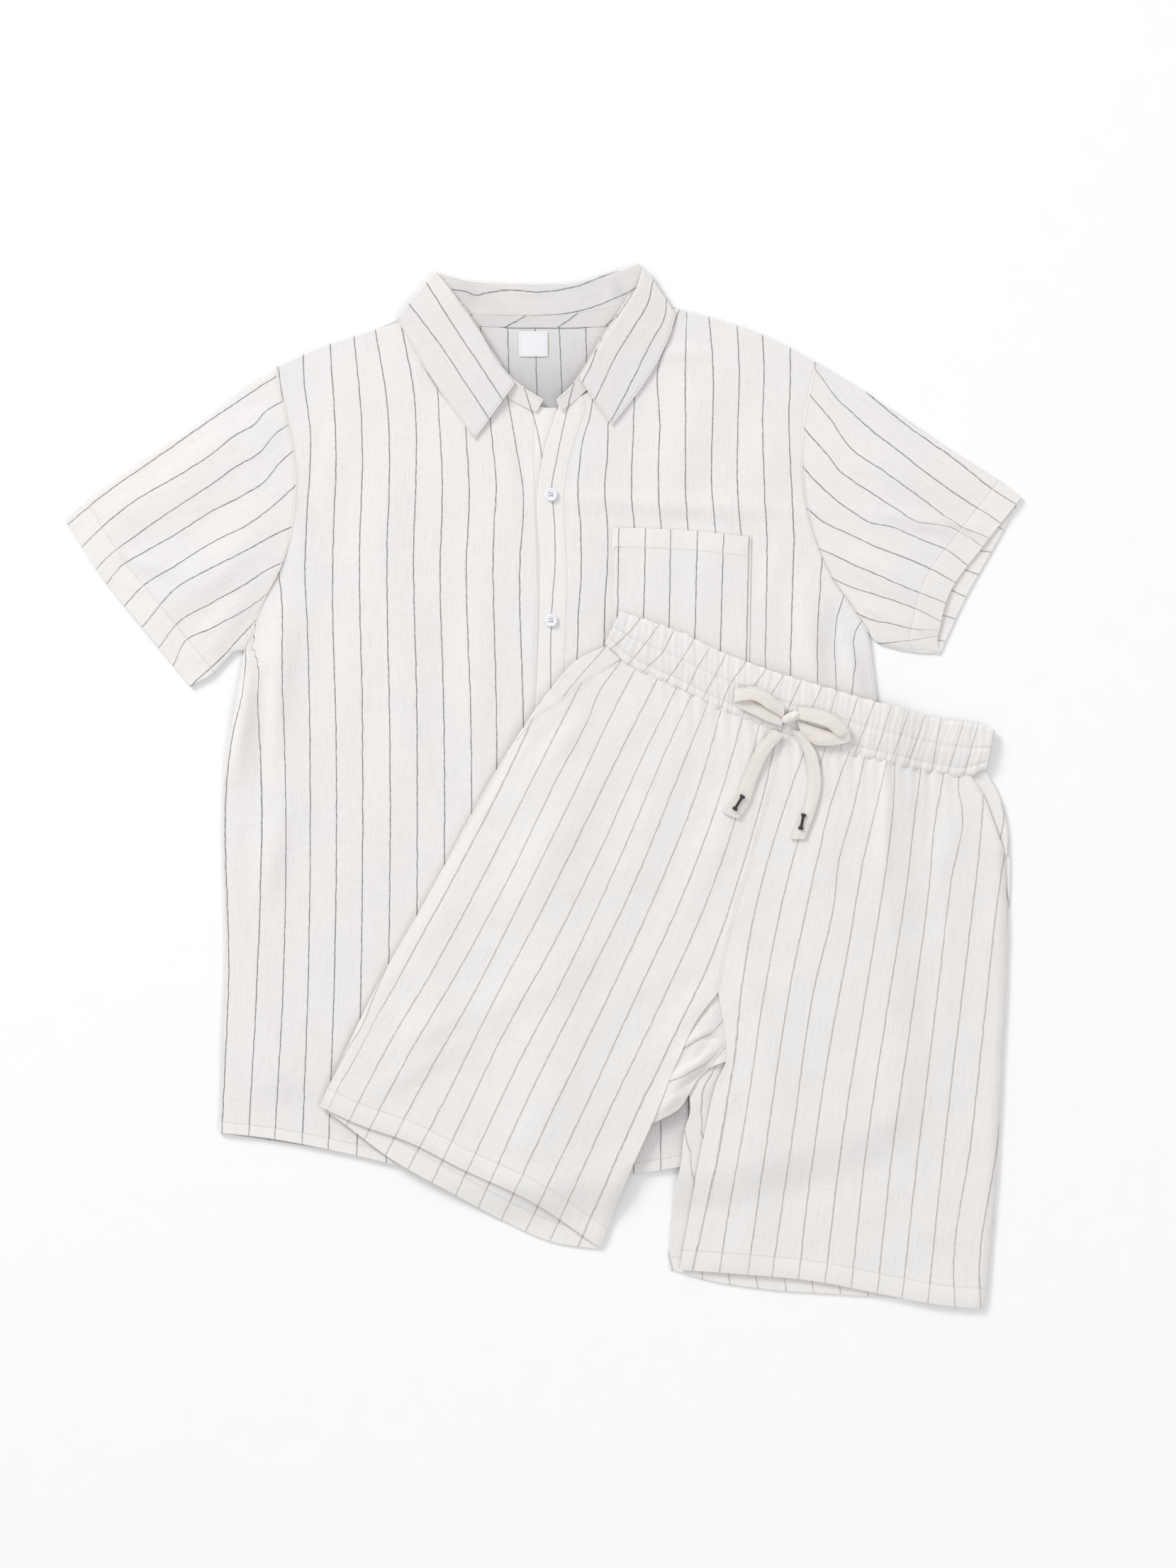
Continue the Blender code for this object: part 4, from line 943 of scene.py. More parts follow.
def resin_material():
    """Pale clouded button resin with a polish."""
    resin = Recipe("button_pearl", 0.22, 0.5, 0.0)
    resin.shader.inputs["Coat Weight"].default_value = 0.4
    resin.shader.inputs["Coat Roughness"].default_value = 0.1
    resin.shader.inputs["Subsurface Weight"].default_value = 0.15
    resin.shader.inputs["Subsurface Radius"].default_value = (0.002, 0.002, 0.003)
    cloud = resin.spread(resin.noise(240.0), 0.3, 0.7)
    return resin.finish(resin.mixed(cloud, (0.87, 0.875, 0.92), (0.80, 0.81, 0.88)))


def thread_material(name, dark, light):
    """Twisted sewing thread."""
    thread = Recipe(name, 0.75, 0.3, 0.15)
    twist = thread.noise(1500.0)
    return thread.finish(thread.mixed(thread.spread(twist, 0.35, 0.65), dark, light), twist, 0.6, 0.0002)


def paper_material():
    """The pale floor."""
    paper = Recipe("paper", 0.95, 0.1, 0.0)
    return paper.finish(paper.mixed(paper.noise(40.0, 4.0), (0.93, 0.93, 0.93), (0.95, 0.95, 0.95)))


SHIRT_GROUND, SHIRT_TINT, SHIRT_STRIPE = (0.82, 0.802, 0.791), (0.832, 0.804, 0.79), (0.05, 0.055, 0.065)
SHORTS_GROUND, SHORTS_TINT, SHORTS_STRIPE = (0.83, 0.812, 0.798), (0.838, 0.81, 0.795), (0.2, 0.155, 0.145)
SHIRT_MAT = cloth_material("shirt_weave", SHIRT_GROUND, SHIRT_TINT, SHIRT_STRIPE, 0.51, 0.32, 0.76)
SHORTS_MAT = cloth_material("shorts_weave", SHORTS_GROUND, SHORTS_TINT, SHORTS_STRIPE, 0.62, 0.46, 0.55)
SHIRT_CLOTH, SHORTS_CLOTH = (SHIRT_MAT, "shirt_cloth"), (SHORTS_MAT, "shorts_cloth")
TAPE_MAT = tape_material()
LABEL_MAT = label_material()
RESIN_MAT = resin_material()
BLACK_MAT = thread_material("black_thread", (0.02, 0.02, 0.022), (0.055, 0.055, 0.058))
PALE_MAT = thread_material("pale_thread", (0.68, 0.68, 0.74), (0.84, 0.84, 0.88))

# Stage


def make_camera():
    """Straight down from far enough away to see the set without perspective, in the photograph's frame."""
    data = bpy.data.cameras.new("camera")
    data.lens = 200.0
    data.sensor_width = 36.0
    data.clip_end = 50.0
    cam = bpy.data.objects.new("camera", data)
    middle = place([(PHOTO_SIZE[X] / 2, PHOTO_SIZE[Y] / 2)])[0]
    away = PHOTO_SIZE[Y] * PIXEL * data.lens / data.sensor_width
    cam.location = (middle[X] * MM, middle[Y] * MM, away * MM + 0.005)
    bpy.context.scene.collection.objects.link(cam)
    bpy.context.scene.camera = cam


def area_light(name, at, size, power):
    data = bpy.data.lights.new(name, "AREA")
    data.shape = "DISK"
    data.size = size
    data.energy = power
    lamp = bpy.data.objects.new(name, data)
    lamp.location = at
    aim = -np.array(at, float)
    lamp.rotation_euler = (math.atan2(math.hypot(aim[X], aim[Y]), -aim[2]), 0.0, math.atan2(-aim[X], aim[Y]))
    bpy.context.scene.collection.objects.link(lamp)


def make_stage():
    world = bpy.data.worlds.new("studio")
    world.use_nodes = True
    light = next(n for n in world.node_tree.nodes if n.type == "BACKGROUND")
    light.inputs["Color"].default_value = (1.0, 1.0, 1.0, 1.0)
    light.inputs["Strength"].default_value = 0.66
    bpy.context.scene.world = world
    area_light("key", (-3.0, 3.5, 2.3), 1.75, 172.0)
    area_light("fill", (1.7, -1.2, 2.8), 2.4, 19.0)
    floor = bpy.data.meshes.new("floor")
    corners = [(-6, -6), (6, -6), (6, 6), (-6, 6)]
    floor.from_pydata([(x, y, -0.0006) for x, y in corners], [], [(0, 1, 2, 3)])
    obj = bpy.data.objects.new("floor", floor)
    floor.materials.append(paper_material())
    bpy.context.scene.collection.objects.link(obj)
    bpy.context.scene.view_settings.view_transform = "Standard"


# Drawstring


def tape_run(name, table, steps):
    """A flat woven tape, a row per section."""
    rows = through(table, steps, even=False)
    share = np.linspace(0, 1, 9)[None, :, None]
    flat = rows[:, None, 0:2] * (1 - share) + rows[:, None, 2:4] * share
    z = shorts_front_z(flat[:, :, X], flat[:, :, Y]) + rows[:, 4][:, None]
    z = z + 0.35 * np.sin(math.pi * share[:, :, 0])
    grid = np.dstack([flat, z])
    width = np.linalg.norm(rows[:, 2:4] - rows[:, 0:2], axis=1)
    middle = grid[:, 4]
    travelled = np.concatenate([[0.0], np.cumsum(np.linalg.norm(np.diff(middle, axis=0), axis=1))])
    across = (share[:, :, 0] - 0.5) * width[:, None]
    thread = np.dstack([across, np.repeat(travelled[:, None], 9, axis=1)])
    stitch = far_from_stitches(across, across)
    obj = shell(f"{name}_cloth", grid, TAPE_THICK, TAPE_MAT, thread, stitch)
    dress(obj, "tape_cloth", name)


def ring_faces(rings, sides, outward=True):
    """Faces between rings of points and one across each end, each the other way round if not outward."""
    faces = []
    for ring in range(rings - 1):
        for this in range(sides):
            after = (this + 1) % sides
            low, high = ring * sides, (ring + 1) * sides
            face = (low + this, high + this, high + after, low + after)
            faces.append(face if outward else face[:1] + face[:0:-1])
    last = (rings - 1) * sides
    ends = [tuple(range(sides)), tuple(range(last, last + sides))[::-1]]
    return faces + [end if outward else end[::-1] for end in ends]


def tube(name, path, radii, material, sides=14, flatten=1.0):
    """A closed tube along a path with a radius at each point."""
    path = np.array(path, float)
    step = np.gradient(path, axis=0)
    step = step / np.linalg.norm(step, axis=1, keepdims=True)
    side = np.cross(step, (0.0, 0.0, 1.0))
    side = side / np.maximum(np.linalg.norm(side, axis=1, keepdims=True), 1e-9)
    up = np.cross(side, step)
    angles = np.linspace(0, 2 * math.pi, sides, endpoint=False)
    ring = np.cos(angles)[None, :, None] * side[:, None, :]
    ring = ring + np.sin(angles)[None, :, None] * up[:, None, :] * flatten
    points = path[:, None, :] + ring * np.array(radii, float)[:, None, None]
    return mesh_object(name, points.reshape(-1, 3), ring_faces(len(path), sides), material)


def front_z_at(x, y):
    return float(shorts_front_z(np.array([float(x)]), np.array([float(y)]))[0])


def build_knot():
    """The knot: one turn of tape lying slantwise over the loops, creased where it is pulled tight."""
    base = front_z_at(*KNOT_AT) + KNOT_HEIGHT
    lean = math.radians(KNOT_LEAN)
    angles = np.linspace(0, 2 * math.pi, 48, endpoint=False)[None, :]
    share = np.linspace(-0.98, 0.98, 25)[:, None]
    bulge = (1 - np.abs(share) ** 2.6) ** 0.6
    pinch = 0.09 * np.exp(-(((share - 0.3 * np.cos(angles)) / 0.14) ** 2))
    pleat = 1 + 0.05 * np.sin(4 * angles + 2.2 * share) - pinch
    along = KNOT_SIZE[0] / 2 * share + 0 * angles
    across = KNOT_SIZE[1] / 2 * bulge * pleat * np.cos(angles)
    x = KNOT_AT[X] + along * math.cos(lean) - across * math.sin(lean)
    y = KNOT_AT[Y] + along * math.sin(lean) + across * math.cos(lean)
    z = base + KNOT_SIZE[2] / 2 * bulge * pleat * np.sin(angles)
    faces = ring_faces(share.size, angles.size, outward=False)
    points = np.dstack([x, y, z]).reshape(-1, 3)
    thread = np.stack(np.broadcast_arrays(across, along), axis=-1).reshape(-1, 2)
    obj = mesh_object("drawstring_knot_cloth", points, faces, TAPE_MAT, {"thread": thread})
    dress(obj, "tape_cloth", "drawstring_knot")


def build_thread_bar(side, row):
    """A bar tack: close turns of thread, wider at its two ends."""
    start, end = np.array(row[:2], float), np.array(row[2:], float)
    middle, run = (start + end) / 2, end - start
    z = front_z_at(*middle) + TAIL_R[-1][4] + TAPE_THICK / 2 + 0.3 + THREAD_RADIUS
    length = np.linalg.norm(run)
    steps = 61
    share = np.linspace(-0.5, 0.5, steps)
    path = np.stack([middle[X] + run[X] * share, middle[Y] + run[Y] * share, np.full(steps, z)], axis=1)
    flare = 1.15 + 1.4 * smooth((np.abs(share) - 0.22) / 0.24)
    turns = 0.12 * np.sin(share * length / 0.8 * 2 * math.pi)
    close = np.sqrt(np.clip(1 - ((np.abs(share) - 0.44) / 0.07).clip(0, 1) ** 2, 0.05, 1))
    obj = tube(f"thread_bar_{side}_thread", path, (flare + turns) * close, BLACK_MAT, 16, 0.55)
    dress(obj, "bar_thread", f"thread_bar_{side}")


def build_drawstring():
    tape_run("drawstring_tail_right", TAIL_R, 60)
    tape_run("drawstring_tail_left", TAIL_L, 60)
    tape_run("drawstring_loop_right", LOOP_R, 110)
    tape_run("drawstring_loop_left", LOOP_L, 110)
    build_knot()
    for side, row in THREAD_BARS.items():
        build_thread_bar(side, row)


# Shirt


def neck_painted_shade(x, y):
    """Painted shade on the inside of the back, darker towards the point where the fronts meet, under the
    collar.
    """
    return 0.165 + 0.34 * smooth((400 - y) / 75)


# painted shade on the fronts where the shorts and a side fold shade them
def front_painted_shade(x, y):
    return fold_height(x, y, SHIRT_PAINTED_SHADES)


def under_painted_shadow(x, y):
    """Painted shade on the under front, plus a painted shadow along the edge of the front over it."""
    edge_x, edge_y = np.array(OVER_EDGE, float).T
    return front_painted_shade(x, y) + 0.13 * np.exp(-(((x - np.interp(y, edge_y, edge_x) + 1.5) / 2.6) ** 2))


def build_body():
    left, right = joined((SIDE_R, 60), (ARMHOLE_R, 44)), joined((SIDE_L, 60), (ARMHOLE_L, 44))
    flat = patch(through(HEM_BACK, 76), through(TOP_BACK, 76), left, right)
    seams = [(HEM_BACK, SHIRT_HEM), (ARMHOLE_R, 6.0), (ARMHOLE_L, 6.0)]
    panel(
        "shirt_back", flat, lambda x, y: np.full_like(x, BACK_MID), still, SHIRT_CLOTH,
        stripe_field(BACK_STRIPES, DOWN), seams, shade=neck_painted_shade, parts=[build_neck_strip()],
    )
    left, right = joined((SIDE_R, 108), (ARMHOLE_R, 64)), joined((UNDER_EDGE, 130), (NECK_R, 42))
    flat = patch(through(HEM_R, 78), through(SHOULDER_R, 78), left, right)
    seams = [(HEM_R, SHIRT_HEM), (ARMHOLE_R, 1.2), (UNDER_EDGE, PLACKET), (SIDE_R, 1.0)]
    panel(
        "shirt_front_right", flat, front_right_z, shirt_detail, SHIRT_CLOTH,
        stripe_field(FRONT_R_STRIPES, DOWN), seams, 0.3, under_painted_shadow, closed=[(SIDE_R, 0.6)],
    )
    left, right = joined((OVER_EDGE, 130), (NECK_L, 42)), joined((SIDE_L, 108), (ARMHOLE_L, 64))
    flat = patch(through(HEM_L, 78), through(SHOULDER_L, 78), left, right)
    seams = [(HEM_L, SHIRT_HEM), (ARMHOLE_L, 1.2), (OVER_EDGE, PLACKET), (SIDE_L, 1.0)]
    panel(
        "shirt_front_left", flat, front_left_z, shirt_detail, SHIRT_CLOTH,
        stripe_field(FRONT_L_STRIPES, DOWN), seams, 0.3, front_painted_shade, closed=[(SIDE_L, 0.6)],
    )


def bent_over(edge, other, inner):
    """Three rows of points round the fold between the two sides of a flat tube."""
    half, middle = (FRONT_MID - BACK_MID) / 2, (FRONT_MID + BACK_MID) / 2
    step = edge - inner
    step = step / np.linalg.norm(step, axis=1, keepdims=True)
    bends = []
    for angle in (45, 90, 135):
        turn, share = math.radians(angle), angle / 180
        flat = edge * (1 - share) + other * share + step * half * math.sin(turn)
        bends.append(np.column_stack([flat, np.full(len(flat), middle + half * math.cos(turn))]))
    return np.stack(bends, axis=1)


def build_sleeve(name, armhole, top, under, cuffs, outward, stripes, back_stripes, degrees):
    """A flattened tube of cloth, open at both ends. Cuffs are the far edges of its front and its back."""
    across, along = 54, 46
    arm = through(armhole, across) + np.array([outward * 0.5, 0.0])
    run = np.linspace(0, 1, along + 1)[:, None]
    layers = []
    for cuff in cuffs:
        end = through(cuff, across)
        edges = []
        for line, corner in ((under, 0), (top, -1)):
            edge = through(line, along)
            edge = edge + run * (end[corner] - edge[-1])
            edges.append(edge + run[::-1] * (arm[corner] - edge[0]))
        layers.append(patch(arm, end, *edges))
    front, back = layers
    x, y = front[:, :, X], front[:, :, Y]
    sewn = stitch_field([(cuffs[0], CUFF_HEM), (armhole, 1.5)])
    share = np.linspace(0, 1, across + 1)[None, :]
    lift = fold_height(x, y, SLEEVE_FOLDS) + fold_height(x, y, SLEEVE_CREASES) + swell(x, y, 7, 0.25)
    bulge = 1.8 * np.sin(math.pi * share) * np.sin(math.pi * (0.25 + 0.75 * run))
    z = FRONT_MID + lift * off_ends(share) + bulge
    z = z + 0.3 * smooth(-sewn(x, y)[:, :, 0] / 1.5)
    upper = np.dstack([front, z])
    lower = np.dstack([back[:, ::-1], np.full(back.shape[:2], BACK_MID)])
    high_fold = bent_over(front[:, -1], back[:, -1], front[:, -2])
    low_fold = bent_over(front[:, 0], back[:, 0], front[:, 1])[:, ::-1]
    grid = np.concatenate([upper, high_fold, lower, low_fold], axis=1)
    x, y = grid[:, :, X], grid[:, :, Y]
    thread = stripe_field(stripes, degrees)(x, y)
    behind = slice(across + 4, 2 * across + 5)
    other = stripe_field(back_stripes, degrees)(x[:, behind], y[:, behind])
    step = (thread[:, across + 4, 0] - other[:, 0, 0]).mean() / STRIPE_PITCH
    other[:, :, 0] += round(float(step)) * STRIPE_PITCH
    thread[:, behind] = other
    obj = shell(f"{name}_cloth", grid, SHEET, SHIRT_MAT, thread, sewn(x, y), wrap=True)
    dress(obj, "shirt_cloth", name)


def build_collar_strip(
    name, table, steps, ribs, runs_right, stripes, degrees, seams=(), shade=0.04, roll=0.0, drop=0.0
):
    """A band of the collar between its inner and its outer edge. A roll turns its inner edge down."""
    rows = through(table, steps)
    share = np.linspace(0, 1, ribs + 1)[None, :, None]
    grid = rows[:, None, :3] * (1 - share) + rows[:, None, 3:] * share
    if roll:
        away = rows[:, :2] - rows[:, 3:5]
        away = away / np.linalg.norm(away, axis=1, keepdims=True)
        turns = []
        for angle in (80, 60, 40, 20):
            turn = math.radians(angle)
            flat = rows[:, :2] + away * roll * math.sin(turn)
            turns.append(np.column_stack([flat, rows[:, 2] - drop * (1 - math.cos(turn))]))
        grid = np.concatenate([np.stack(turns, axis=1), grid], axis=1)
    if not runs_right:
        grid = grid[::-1]
    x, y = grid[:, :, X], grid[:, :, Y]
    z = grid[:, :, 2] + swell(x, y, 11, 0.12)
    grid = np.dstack([x, y, z])
    stitch = stitch_field(seams)(x, y) if seams else far_from_stitches(x, y)
    # painted shade: the band darkened all over and in its crumples
    painted_shading = np.full(x.shape, shade)
    # painted shade on the four turned rows of the roll, which catch the light
    if roll:
        painted_shading[:, :4] += 0.16
    painted_shading = painted_shading + fold_height(x, y, COLLAR_PAINTED_SHADES)
    thread = stripe_field(stripes, degrees)(x, y)
    obj = shell(f"{name}_cloth", grid, BAND_SHEET, SHIRT_MAT, thread, stitch, shade=np.clip(painted_shading, 0, 1))
    lay(obj, "shirt_cloth", name)


def inner_edge(table):
    return [row[:2] for row in table]


def outer_edge(table):
    return [row[3:5] for row in table]


def fall_seams(table):
    """Stitching along a fall's outer edge and across its point."""
    return [(outer_edge(table), 1.0), ([table[0][:2], table[0][3:5]], 1.0)]


def build_collar():
    strip = build_collar_strip
    strip("collar_fall_right", FALL_R, 44, 18, False, FALL_R_STRIPES, -57, fall_seams(FALL_R), 0.07, 0.6, 1.2)
    strip("collar_fall_left", FALL_L, 44, 18, True, FALL_L_STRIPES, -116, fall_seams(FALL_L), 0.04, 0.3, 0.5)
    strip("collar_fall_back", FALL_BACK, 60, 10, True, STAND_STRIPES, 0, shade=0.06)
    strip("collar_stand_right", STAND_R, 44, 8, False, FRONT_R_STRIPES, DOWN, [(inner_edge(STAND_R), 2.0)])
    seams = [(outer_edge(STAND_BACK), 4.0)]
    strip("collar_stand_back", STAND_BACK, 60, 12, True, STAND_STRIPES, 0, seams, 0.1)
    strip("collar_stand_left", STAND_L, 44, 8, True, FRONT_L_STRIPES, DOWN, [(inner_edge(STAND_L), 2.0)])


def build_neck_strip():
    """The strip that covers the neck seam inside, its stripes at a slant."""
    bottom, top = through(place(NECK_STRIP_BOTTOM), 60), through(place(NECK_STRIP_TOP), 60)
    share = np.linspace(0, 1, 9)[:, None]
    flat = bottom[None, :, :] * (1 - share[:, :, None]) + top[None, :, :] * share[:, :, None]
    x, y = flat[:, :, X], flat[:, :, Y]
    z = 1.35 + 2.3 * share + swell(x, y, 13, 0.1)
    # painted shade: the strip darkened a little all over and more in the collar's painted shade places
    painted_shading = 0.08 + fold_height(x, y, COLLAR_PAINTED_SHADES)
    thread = stripe_field(NECK_STRIP_STRIPES, 33)(x, y)
    stitch = far_from_stitches(x, y)
    obj = shell("neck_strip_cloth", np.dstack([flat, z]), 0.3, SHIRT_MAT, thread, stitch, shade=painted_shading)
    return dress(obj, "shirt_cloth")


def build_pocket():
    left, right = [POCKET_BOTTOM[0], POCKET_TOP[0]], [POCKET_BOTTOM[-1], POCKET_TOP[-1]]
    flat = patch(through(POCKET_BOTTOM, 30), through(POCKET_TOP, 30), through(left, 32), through(right, 32))
    seams = [(POCKET_TOP, POCKET_HEM), (left, 1.6), (right, 1.6), (POCKET_BOTTOM, 1.6)]
    panel(
        "chest_pocket", flat, lambda x, y: front_left_z(x, y) + POCKET_LIFT, shirt_detail, SHIRT_CLOTH,
        stripe_field(POCKET_STRIPES, DOWN), seams, 0.25,
        wall=0.5, closed=[(left, 0.8), (right, 0.9), (POCKET_BOTTOM, 0.8)],
    )


def build_label():
    xs, ys = np.linspace(LABEL_LEFT, LABEL_RIGHT, 24), np.linspace(LABEL_BOTTOM, LABEL_TOP, 20)
    flat = np.dstack(np.meshgrid(xs, ys))
    x, y = flat[:, :, X], flat[:, :, Y]
    z = 1.75 + 0.25 * np.sin((x - LABEL_LEFT) / 25 * math.pi) + 0.12 * np.sin(y / 5)
    corners = [
        (LABEL_LEFT, LABEL_BOTTOM), (LABEL_LEFT, LABEL_TOP),
        (LABEL_RIGHT, LABEL_TOP), (LABEL_RIGHT, LABEL_BOTTOM),
    ]
    sewn = stitch_field([(corners[1:3], 1.6), (corners[:2], 1.4), (corners[:1:-1], 1.4)])
    obj = shell("neck_label_cloth", np.dstack([flat, z]), 0.4, LABEL_MAT, flat, sewn(x, y))
    lay(obj, "label_cloth", "neck_label")


def drill_hole(obj, at):
    """Cuts an upright hole through a button."""
    radius, place_m = BUTTON_HOLE_RADIUS * MM, [v * MM for v in at]
    bpy.ops.mesh.primitive_cylinder_add(vertices=16, radius=radius, depth=6 * MM, location=place_m)
    drill = bpy.context.object
    cut = obj.modifiers.new("hole", "BOOLEAN")
    cut.operation, cut.solver, cut.object = "DIFFERENCE", "EXACT", drill
    bpy.context.view_layer.update()
    made = bpy.data.meshes.new_from_object(obj.evaluated_get(bpy.context.evaluated_depsgraph_get()))
    obj.modifiers.clear()
    obj.data = made
    bpy.data.objects.remove(drill, do_unlink=True)


def build_button(number):
    """A button turned with a raised rim; the ones that show get four holes and are sewn down with two
    stitches.
    """
    y_mid = BUTTON_TOP_Y - BUTTON_PITCH * (number - 1)
    z_mid = float(front_left_z(np.array([BUTTON_X]), np.array([y_mid]))[0]) + 1.05 + BUTTON_THICK / 2
    half = BUTTON_THICK / 2
    profile = [
        (0.0, 0.75), (2.7, 0.72), (3.4, 0.8), (3.9, 1.0), (4.5, half), (5.2, half - 0.1), (5.65, half - 0.45),
        (BUTTON_RADIUS, 0.0), (5.5, -0.6), (4.8, -half + 0.1), (4.0, -half), (0.0, -half),
    ]
    sides = 48
    angles = np.linspace(0, 2 * math.pi, sides, endpoint=False)
    points, faces = [], []
    for radius, height in profile[1:-1]:
        for angle in angles:
            x, y = BUTTON_X + radius * math.cos(angle), y_mid + radius * math.sin(angle)
            points.append((x, y, z_mid + height))
    top, bottom = len(points), len(points) + 1
    points += [(BUTTON_X, y_mid, z_mid + profile[0][1]), (BUTTON_X, y_mid, z_mid + profile[-1][1])]
    rings = len(profile) - 2
    for s in range(sides):
        t = (s + 1) % sides
        faces.append((top, s, t))
        for r in range(rings - 1):
            faces.append((r * sides + s, (r + 1) * sides + s, (r + 1) * sides + t, r * sides + t))
        faces.append((bottom, (rings - 1) * sides + t, (rings - 1) * sides + s))
    obj = mesh_object(f"button_{number}_resin", points, faces, RESIN_MAT)
    if number <= BUTTON_SHOWN:
        for index in range(4):
            angle = math.pi / 4 + index * math.pi / 2
            hole_x, hole_y = BUTTON_HOLE_OFFSET * math.cos(angle), BUTTON_HOLE_OFFSET * math.sin(angle)
            drill_hole(obj, (BUTTON_X + hole_x, y_mid + hole_y, z_mid))
    dress(obj, "button_resin", f"button_{number}")
    if number <= BUTTON_SHOWN:
        share = np.linspace(-1, 1, 17)
        reach = BUTTON_HOLE_OFFSET * 0.72
        for index, lean in enumerate((-1, 1)):
            x = np.full(17, BUTTON_X + lean * reach)
            path = np.stack([x, y_mid + share * reach * 1.05, z_mid + 1.05 - 1.3 * share**4], axis=1)
            thread = tube(f"button_{number}_stitch_{index + 1}", path, np.full(17, 0.46), PALE_MAT, 8)
            dress(thread, "shirt_cloth")


def build_shirt():
    build_body()
    build_sleeve(
        "sleeve_right", ARMHOLE_R, SLEEVE_TOP_R, SLEEVE_UNDER_R, (SLEEVE_CUFF_R, SLEEVE_CUFF_R), -1,
        SLEEVE_R_STRIPES, SLEEVE_R_STRIPES, -144.5,
    )
    build_sleeve(
        "sleeve_left", ARMHOLE_L, SLEEVE_TOP_L, SLEEVE_UNDER_L, (SLEEVE_CUFF_FRONT_L, SLEEVE_CUFF_BACK_L), 1,
        SLEEVE_L_STRIPES, CUFF_L_STRIPES, -38.4,
    )
    build_collar()
    build_pocket()
    build_label()
    for number in range(1, BUTTON_COUNT + 1):
        build_button(number)


# Shorts


def past_centre(inseam, count, seam_count):
    """The left half's inner edge, a seam's gap from the right half's above the crotch."""
    edge = joined((CENTRE, seam_count), (inseam, count))
    shares = smooth(np.concatenate([np.ones(seam_count + 1), np.linspace(0.8, 0.0, count)]))
    return edge + np.array([0.5, 0.0]) * shares[:, None]


# painted shade: the backs of the shorts darkened a little all over
def inner_painted_shade(x, y):
    return np.full_like(x, 0.02)


def seam_painted_shade(x, y):
    """Painted shade on the shorts' fronts, darker where they turn down at the outside seams."""
    reach = [stitch_field([(edge, 0.0)])(x, y)[:, :, 0] / 3.4 for edge in (OUTSEAM_R, OUTSEAM_L)]
    return 0.01 + 0.13 * (np.exp(-(reach[0] ** 2)) + np.exp(-(reach[1] ** 2)))


def build_gusset():
    """The crumpled piece of the back that shows between the legs."""
    edges = (GUSSET_BOTTOM, GUSSET_TOP, GUSSET_LEFT, GUSSET_RIGHT)
    bottom, top, left, right = [place(edge) for edge in edges]
    flat = patch(through(bottom, 30), through(top, 30), through(left, 60), through(right, 60))
    x, y = flat[:, :, X], flat[:, :, Y]
    u, v = np.linspace(0, 1, 31)[None, :], np.linspace(0, 1, 61)[:, None]
    open_part = smooth(u * 5) * smooth((1 - v) * 5)
    z = shorts_back_z(x, y) + 1.7 + 0.7 * open_part + fold_height(x, y, GUSSET_CREASES) * open_part
    z = z - 0.9 * np.exp(-((v / 0.08) ** 2)) * smooth(u * 4)
    thread, stitch = stripe_field(GUSSET_STRIPES, 35)(x, y), far_from_stitches(x, y)
    # painted shade, twice that on the backs
    painted_shading = inner_painted_shade(x, y) * 2
    obj = shell("crotch_folds_cloth", np.dstack([flat, z]), SHEET, SHORTS_MAT, thread, stitch, shade=painted_shading)
    return dress(obj, "shorts_cloth")


def build_leg_backs():
    right = joined((CENTRE, 30), (BACK_INSEAM_R, 34))
    flat = patch(through(BACK_WAIST_R, 36), through(BACK_HEM_R, 36), through(BACK_SIDE_R, 64), right)[::-1]
    panel(
        "shorts_back_right", flat, shorts_back_z, still, SHORTS_CLOTH,
        stripe_field(LEG_R_STRIPES, -115), [(BACK_HEM_R, SHORTS_HEM)], shade=inner_painted_shade,
    )
    left = past_centre(BACK_INSEAM_L, 50, 40)
    waist = through([tuple(left[0])] + BACK_WAIST_L[1:], 40)
    flat = patch(waist, through(BACK_HEM_L, 40), left, through(BACK_SIDE_L, 90))[::-1]
    panel(
        "shorts_back_left", flat, shorts_back_z, still, SHORTS_CLOTH,
        stripe_field(BACK_LEG_STRIPES, -80), [(BACK_HEM_L, SHORTS_HEM)], shade=inner_painted_shade,
        parts=[build_gusset()],
    )


def build_leg_fronts():
    left = joined((POCKET_EDGE_R, 32), (OUTSEAM_R, 84))
    right = joined((CENTRE, 56), (INSEAM_R, 60))
    flat = patch(through(WAIST_SEAM_R, 68), through(FRONT_HEM_R, 68), left, right)[::-1]
    panel(
        "shorts_front_right", flat, shorts_front_z, shorts_detail, SHORTS_CLOTH,
        stripe_field(LEG_R_STRIPES, -115), [(FRONT_HEM_R, SHORTS_HEM), (POCKET_EDGE_R, 1.2), (CENTRE, 1.0)],
        0.25, seam_painted_shade,
        closed=[(OUTSEAM_R, 1.9), (INSEAM_R[4:], 1.6), (FRONT_HEM_R, 1.0)],
    )
    left = past_centre(INSEAM_L, 64, 56)
    right = joined((POCKET_EDGE_L, 20), (OUTSEAM_L, 100))
    waist = through([tuple(left[0])] + WAIST_SEAM_L[1:], 66)
    flat = patch(waist, through(FRONT_HEM_L, 66), left, right)[::-1]
    panel(
        "shorts_front_left", flat, shorts_front_z, shorts_detail, SHORTS_CLOTH,
        stripe_field(LEG_L_STRIPES, -100), [(FRONT_HEM_L, SHORTS_HEM), (POCKET_EDGE_L, 1.2), (CENTRE, 1.0)],
        0.25, seam_painted_shade,
        closed=[(OUTSEAM_L, 1.9), (FRONT_HEM_L, 0.8)],
    )


def bump_at(value, centre, width):
    """1 at the centre, fading away on both sides."""
    return np.exp(-(((value - centre) / width) ** 2))


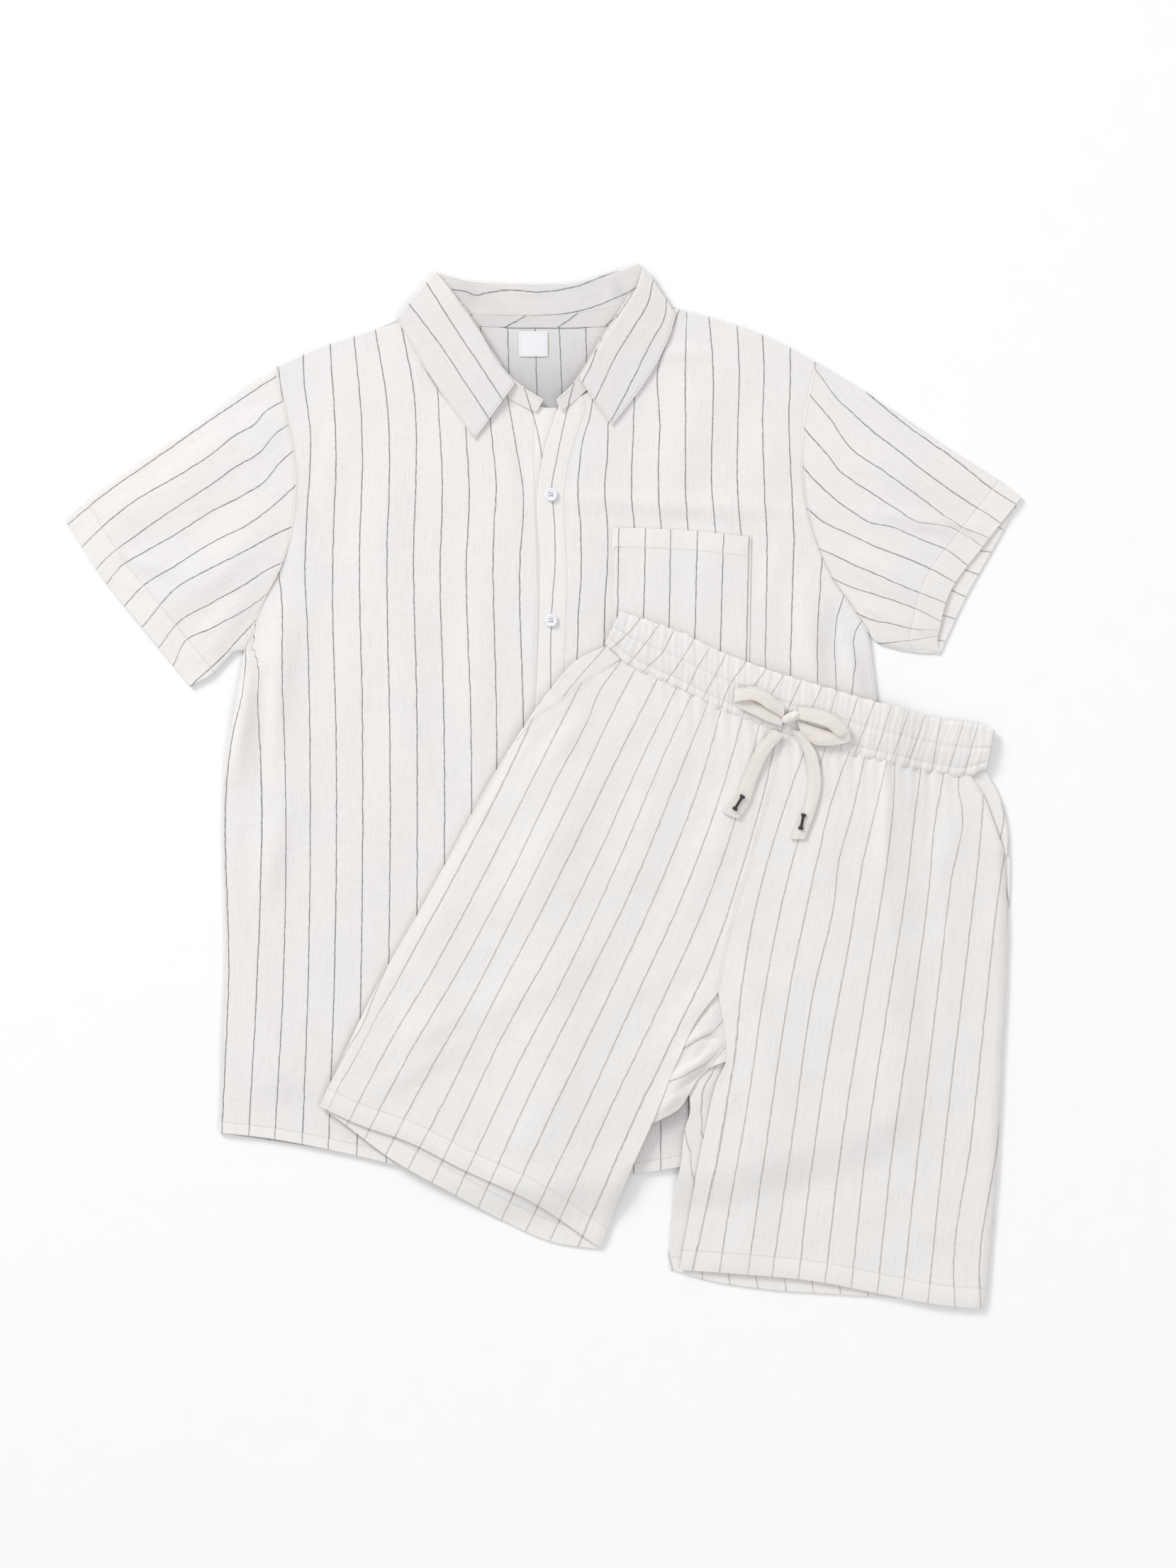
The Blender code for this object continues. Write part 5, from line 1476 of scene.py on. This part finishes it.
def build_waistband(name, lift, gathered, steps, ribs_count, deepest):
    """One side of the waistband; a gathered side is gathered on its elastic, with a channel stitched along
    its middle.
    """
    rows = through(BAND, steps)
    share = np.linspace(0, 1, steps + 1)[:, None]
    ribs = np.linspace(0.0, deepest, ribs_count)[None, :]
    x = rows[:, None, 0] * (1 - ribs) + rows[:, None, 2] * ribs
    y = rows[:, None, 1] * (1 - ribs) + rows[:, None, 3] * ribs
    z = shorts_back_z(x, y) + lift
    if gathered:
        phase = share + 0.0025 * np.sin(ribs * 7 + share * 40)
        crimp = 0.7 + 0.3 * np.sin(share * 61.0 + ribs * 5.0)
        near_edges = 0.55 + 0.45 * np.abs(2 * ribs - 1) ** 2
        z = z + GATHER_HEIGHT * 0.24 * band_wave(phase) * crimp * near_edges + 1.4 * np.sin(math.pi * ribs)
        y = y + 0.5 * band_wave(phase + 0.01) * bump_at(ribs, 0.0, 0.08)
        y = y + 0.8 * band_wave(phase + 0.02) * bump_at(ribs, deepest, 0.08)
        z = z - 0.8 * bump_at(ribs, 0.0, 0.03) - 0.6 * bump_at(ribs, deepest, 0.04)
        z = z + 0.12 * np.sin(phase * GATHERS * 4.4 * math.pi + 1.0)
        z = z - 0.7 * bump_at(ribs, 0.52, 0.035) - 0.5 * bump_at(ribs, 0.9, 0.04)
    grid = np.dstack([x, y, z])[:, ::-1]
    x, y = grid[:, :, X], grid[:, :, Y]
    middle = [((r[0] + r[2]) / 2, (r[1] + r[3]) / 2) for r in BAND]
    sewn = stitch_field([(middle, 0.0), ([r[2:] for r in BAND], 3.5)]) if gathered else far_from_stitches
    # the waistband darkened a little all over through the painted shade map
    thread, shade = stripe_field(BAND_STRIPES, -118)(x, y), np.full_like(x, 0.03)
    obj = shell(f"{name}_cloth", grid, SHEET, SHORTS_MAT, thread, sewn(x, y), shade=shade)
    lay(obj, "shorts_cloth", name)


def build_facing(name, outer, opening, stripes, degrees):
    """The strip of back pocket cloth that shows outside the slanted opening."""
    far, near = through(outer, 40), through(opening, 40)
    share = np.linspace(0, FACING_UNDER, 16)[None, :, None]
    flat = far[:, None, :] * (1 - share) + near[:, None, :] * share
    if flat[0, 0, X] > flat[0, -1, X]:
        flat = flat[:, ::-1]
    panel(
        name, flat, lambda x, y: shorts_back_z(x, y) + FACING_LIFT, lambda x, y: swell(x, y, 9, 0.1),
        SHORTS_CLOTH, stripe_field(stripes, degrees), [], wall=0.7,
    )


def build_shorts():
    build_leg_backs()
    build_leg_fronts()
    build_waistband("waistband_back", 0.0, False, 90, 8, 0.93)
    build_waistband("waistband_front", LEG_GAP + 1.4, True, GATHERS * GATHER_STEPS, 26, 1.09)
    build_facing("pocket_facing_right", BACK_SIDE_R[:4], POCKET_EDGE_R, FACING_R_STRIPES, -137)
    build_facing("pocket_facing_left", [*BACK_SIDE_L[:3], FACING_END_L], POCKET_EDGE_L, FACING_L_STRIPES, -80)


make_camera()
build_drawstring()
build_shirt()
build_shorts()
make_stage()
